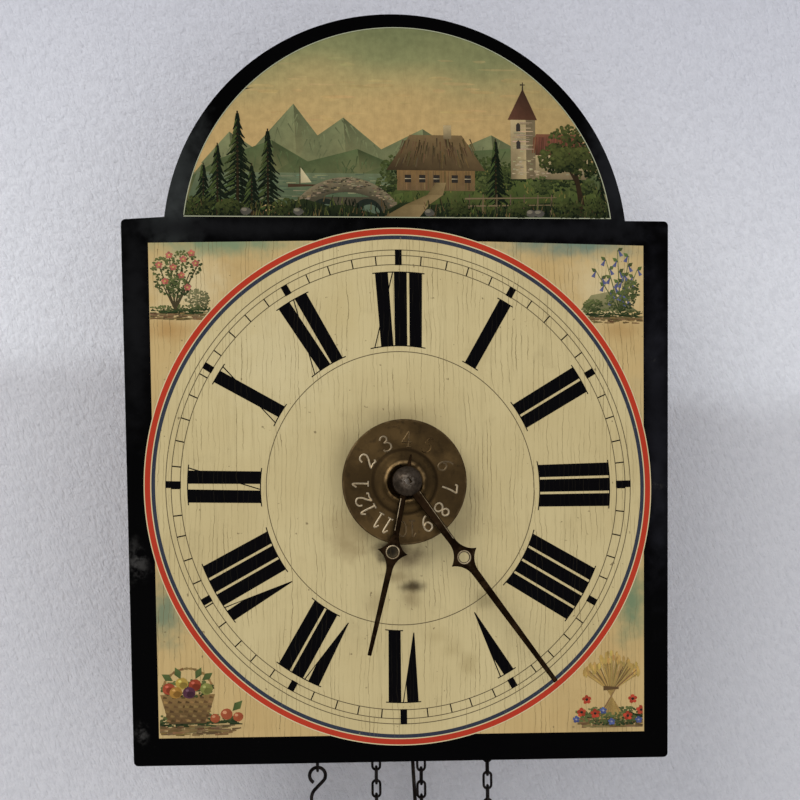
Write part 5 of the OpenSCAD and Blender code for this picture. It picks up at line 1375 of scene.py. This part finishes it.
# Blacksmith's iron: hanger strap, screws, hinge pins, pendulum rod, bell stand, hammer and chains,
# with the hooks and pull rings that end the chains.
# It is forged or drawn, black from the fire, with brown rust in the hollows.
black_iron = metal("black_iron", (0.035, 0.029, 0.026), (0.017, 0.013, 0.011), (0.045, 0.021, 0.009),
                   0.5, 2.0)[0]
chain_iron = metal("chain_iron", (0.022, 0.018, 0.017), (0.010, 0.0085, 0.0085), (0.030, 0.016, 0.009),
                   0.46, 3.0)[0]
dress(["batten_screws", "hanger_strap", "hanger_screws", "door_hinge_pins", "bell_hammer", "bell_stand",
       "pendulum_rod"], black_iron)
dress(["alarm_chain", "going_chain", "alarm_pull_ring", "going_pull_ring", "alarm_weight_hook",
       "going_weight_hook"], chain_iron)

# Cast weights: two iron cylinders with sloping shoulders, painted black once and now rusting through.
# Each is cast in sand with its eye, which hangs from the hook on the weight side of its chain.
weight_iron = metal("weight_iron", (0.040, 0.036, 0.034), (0.024, 0.018, 0.015), (0.085, 0.034, 0.013),
                    0.55, 0.8)[0]
dress(["alarm_weight", "going_weight"], weight_iron)

# Brass and bell metal: wheels, motion work, pivot bushes, suspension cock, cam, pendulum bob and its nut.
# The brass is cast, then cut or turned.
# The bell is cast in a whiter bronze and turned, and a nut holds it on its stand.
wheel_brass = metal("wheel_brass", (0.50, 0.34, 0.13), (0.26, 0.165, 0.06), (0.08, 0.05, 0.02), 0.3, 1.0)[0]
bell_bronze = metal("bell_bronze", (0.46, 0.34, 0.17), (0.22, 0.155, 0.075), (0.07, 0.048, 0.024),
                    0.26, 0.6)[0]
dress(["great_wheel", "centre_wheel", "third_wheel", "escape_wheel", "alarm_wheel", "pivot_bushes",
       "cannon_pinion", "minute_wheel", "hour_wheel", "alarm_cam", "suspension_cock", "pendulum_bob",
       "rating_nut"], wheel_brass)
dress(["bell"], bell_bronze)

# Case: beech boards planed by hand and darkened by smoke, with two doors on iron pins.
# Plates between the boards carry the wheels, and battens above and below carry the bare-backed shield.
# Door knobs are turned from a darker fruit wood, the chain wheels with their ratchets from beech.
upright, level, inwards = (1.0, 1.0, 0.06), (0.06, 1.0, 1.0), (1.0, 0.06, 1.0)
beech = ((0.23, 0.125, 0.055), (0.13, 0.065, 0.027), (0.05, 0.024, 0.010))
pale_beech = ((0.30, 0.18, 0.085), (0.19, 0.105, 0.046), (0.08, 0.042, 0.018))
wheel_beech = ((0.27, 0.155, 0.07), (0.16, 0.085, 0.036), (0.07, 0.036, 0.015))
limewood = ((0.27, 0.17, 0.085), (0.17, 0.10, 0.047), (0.07, 0.038, 0.018))
pearwood = ((0.10, 0.042, 0.020), (0.055, 0.022, 0.010), (0.022, 0.009, 0.004))
back_scale, back_middle, back_off = 0.985, 50, 0.04


def wood_group():
    """Growth lines along one axis with pores and broad colour changes."""
    tree, given, result = group("planed_wood", {"Vector": "Vector", "Stretch": "Vector"},
                                {"Lines": "Float", "Pores": "Float", "Broad": "Float"})
    along = vectors(tree, "MULTIPLY", given["Vector"], given["Stretch"])
    sway = noise(tree, along, 9.0, 3.0)
    growth = add(tree, "ShaderNodeVectorMath", {0: along, "Scale": 95.0}, operation="SCALE").outputs[0]
    tree.links.new(noise(tree, vectors(tree, "ADD", growth, sway), 1.6, 3.0, 0.5), result["Lines"])
    tree.links.new(step(tree, noise(tree, along, 900.0, 2.0, 0.5), 0.60, 0.72), result["Pores"])
    tree.links.new(noise(tree, given["Vector"], 14.0, 4.0), result["Broad"])
    return tree


planed_wood = wood_group()


def wood(name, stretch, tones, rough=0.5):
    """Planed wood in three tones: light, dark and pores."""
    light, dark, pore = tones
    material, tree, shader, where = finish(name, Specular_IOR_Level=0.35)
    grain = add(tree, "ShaderNodeGroup", {"Vector": where, "Stretch": stretch}, node_tree=planed_wood).outputs
    colour = blend(tree, step(tree, grain["Lines"], 0.35, 0.65), light, dark)
    colour = blend(tree, step(tree, grain["Broad"], 0.35, 0.75, 0.0, 0.55), colour, dark)
    colour = blend(tree, times(tree, grain["Pores"], 0.7), colour, pore)
    dull = step(tree, grain["Lines"], 0.3, 0.7, rough, rough + 0.18)
    wire(tree, shader, colour, dull, grain["Pores"], depth=-0.0002, strength=0.35)
    return material


dress(["left_door", "right_door"], wood("door_beech", upright, beech))
dress(["top_board", "bottom_board", "shield_battens", "wall_spacers"], wood("board_beech", level, beech))
dress(["front_plate", "rear_plate"], wood("plate_beech", upright, pale_beech, 0.55))
back_outline = [(back_scale * x, back_middle + back_scale * (z - back_middle)) for x, z in shield_outline]
back_sheet = sheet("bare_shield_back", [back_outline, pipe_hole], -shield_deep - back_off)
back_sheet.flip_normals()
on_shield("bare_shield_back", back_sheet, wood("shield_limewood", upright, limewood, 0.6))
dress(["going_chain_wheel", "alarm_chain_wheel"], wood("wheel_beech", inwards, wheel_beech))
dress(["left_door_knob", "right_door_knob"], wood("knob_pearwood", level, pearwood, 0.36))

# Wall, floor and light: a rough plastered wall in pale grey behind the clock, and a pale floor far below.
# A large soft light stands high on the left in front, a weaker one low; the room fills the shadows.
wall_y, floor_z, wall_top, wall_end, floor_end = 0.0015, -0.95, 2.2, 3, -4
trowel_turn = math.radians(24)
band_slope, band_wave, band_z = 0.0625, 0.03, -0.05
# The third wall tone is whiter plaster above a sloping line, partly painted light where the clock's shade
# falls.
wall_tones = ((0.594, 0.60, 0.655), (0.552, 0.558, 0.612), (0.80, 0.81, 0.85), (0.63, 0.628, 0.656))
floor_tones = ((0.66, 0.65, 0.63), (0.60, 0.59, 0.57))


def plaster(name, light, dark, whiter_band_and_painted_light=None, low=None):
    """Pale plaster with trowel strokes, seen only from its front, so that it never hides the clock."""
    material, tree, shader, where = finish(name, Roughness=0.85, Specular_IOR_Level=0.2)
    tilted = add(tree, "ShaderNodeMapping", {"Vector": where, "Rotation": (0.0, trowel_turn, 0.0)}).outputs[0]
    strokes = noise(tree, tilted, 1.0, 4.0, 0.6, (620.0, 1.0, 190.0))
    lumps = maths(tree, "MULTIPLY_ADD", noise(tree, where, 330.0, 5.0, 0.62), 1.1, strokes)
    colour = blend(tree, noise(tree, where, 5.0, 4.0), light, dark)
    if low:
        along = add(tree, "ShaderNodeSeparateXYZ", {0: where}).outputs
        up = maths(tree, "MULTIPLY_ADD", along["X"], band_slope, along["Z"])
        up = maths(tree, "MULTIPLY_ADD", noise(tree, where, 30.0, 5.0, 0.6), band_wave, up)
        # Whiter just above the line and fading upwards: partly the plaster's own colour, partly painted light
        # over the clock's shade.
        colour = blend(tree, step(tree, up, band_z, 0.25, 1.0, 0.0), colour, whiter_band_and_painted_light)
        colour = blend(tree, step(tree, up, band_z, -0.02, 1.0, 0.0), colour, low)
    colour = blend(tree, step(tree, lumps, 0.85, 1.3, 0.0, 0.2), colour, [0.7 * c for c in dark])
    wire(tree, shader, colour, None, lumps, depth=0.0013, strength=1.0)
    back = add(tree, "ShaderNodeNewGeometry").outputs["Backfacing"]
    ray = add(tree, "ShaderNodeLightPath").outputs
    seen = maths(tree, "MAXIMUM", ray["Is Camera Ray"], ray["Is Glossy Ray"])
    seen = add(tree, "ShaderNodeMath", {0: seen, 1: back}, operation="SUBTRACT", use_clamp=True).outputs[0]
    clear = add(tree, "ShaderNodeBsdfTransparent").outputs[0]
    either = add(tree, "ShaderNodeMixShader", {0: seen, 1: clear, 2: shader.outputs[0]}).outputs[0]
    tree.links.new(either, tree.nodes["Material Output"].inputs["Surface"])
    return material


def backdrop(name, corners, material):
    mesh = mesh_from(name, corners, [(0, 1, 2, 3)])
    mesh.materials.append(material)
    obj = bpy.data.objects.new(name, mesh)
    scene.collection.objects.link(obj)


backdrop("plaster_wall", [(-wall_end, wall_y, floor_z), (wall_end, wall_y, floor_z),
                          (wall_end, wall_y, wall_top), (-wall_end, wall_y, wall_top)],
         plaster("wall_plaster", *wall_tones))
backdrop("pale_floor", [(-wall_end, floor_end, floor_z), (wall_end, floor_end, floor_z),
                        (wall_end, wall_y, floor_z), (-wall_end, wall_y, floor_z)],
         plaster("floor_plaster", *floor_tones))

world = bpy.data.worlds.new("room")
world.use_nodes = True
room_light = world.node_tree.nodes["Background"].inputs
room_light["Color"].default_value = (0.93, 0.95, 1.0, 1.0)
room_light["Strength"].default_value = 0.64
scene.world = world


def soft_light(name, place, aim, size, power, colour):
    lamp = bpy.data.lights.new(name, "AREA")
    lamp.shape = "SQUARE"
    lamp.size, lamp.energy, lamp.color = size, power, colour
    obj = bpy.data.objects.new(name, lamp)
    obj.location = place
    obj.rotation_euler = (Vector(aim) - Vector(place)).to_track_quat("-Z", "Y").to_euler()
    scene.collection.objects.link(obj)


soft_light("window_light", (-1.1, -1.8, 1.1), (0.0, -0.1, -0.1), 1.2, 22.0, (1.0, 0.98, 0.95))
soft_light("room_fill", (0.2, -2.3, -0.5), (0.0, -0.1, -0.2), 1.8, 14.0, (1.0, 0.985, 0.97))

# Camera: slightly left of the clock and below its middle, at about 1.2 m, as the photograph was taken.
# Its turn is a rotation vector in degrees that starts from a look straight at the wall.
camera_place, camera_turn = (-0.1438, -1.2046, -0.1437), (-3.956, -7.548, -0.357)
camera_data = bpy.data.cameras.new("view")
camera_data.lens, camera_data.sensor_width, camera_data.sensor_fit = 99.0, 36.0, "HORIZONTAL"
camera = bpy.data.objects.new("view", camera_data)
scene.collection.objects.link(camera)
turn = Vector([math.radians(a) for a in camera_turn])
axes = Matrix.Rotation(turn.length, 3, turn.normalized()) @ Matrix(((1, 0, 0), (0, 0, -1), (0, 1, 0)))
look = Matrix((axes[0], -axes[1], -axes[2])).transposed().to_4x4()
camera.matrix_world = Matrix.Translation(camera_place) @ look
scene.camera = camera
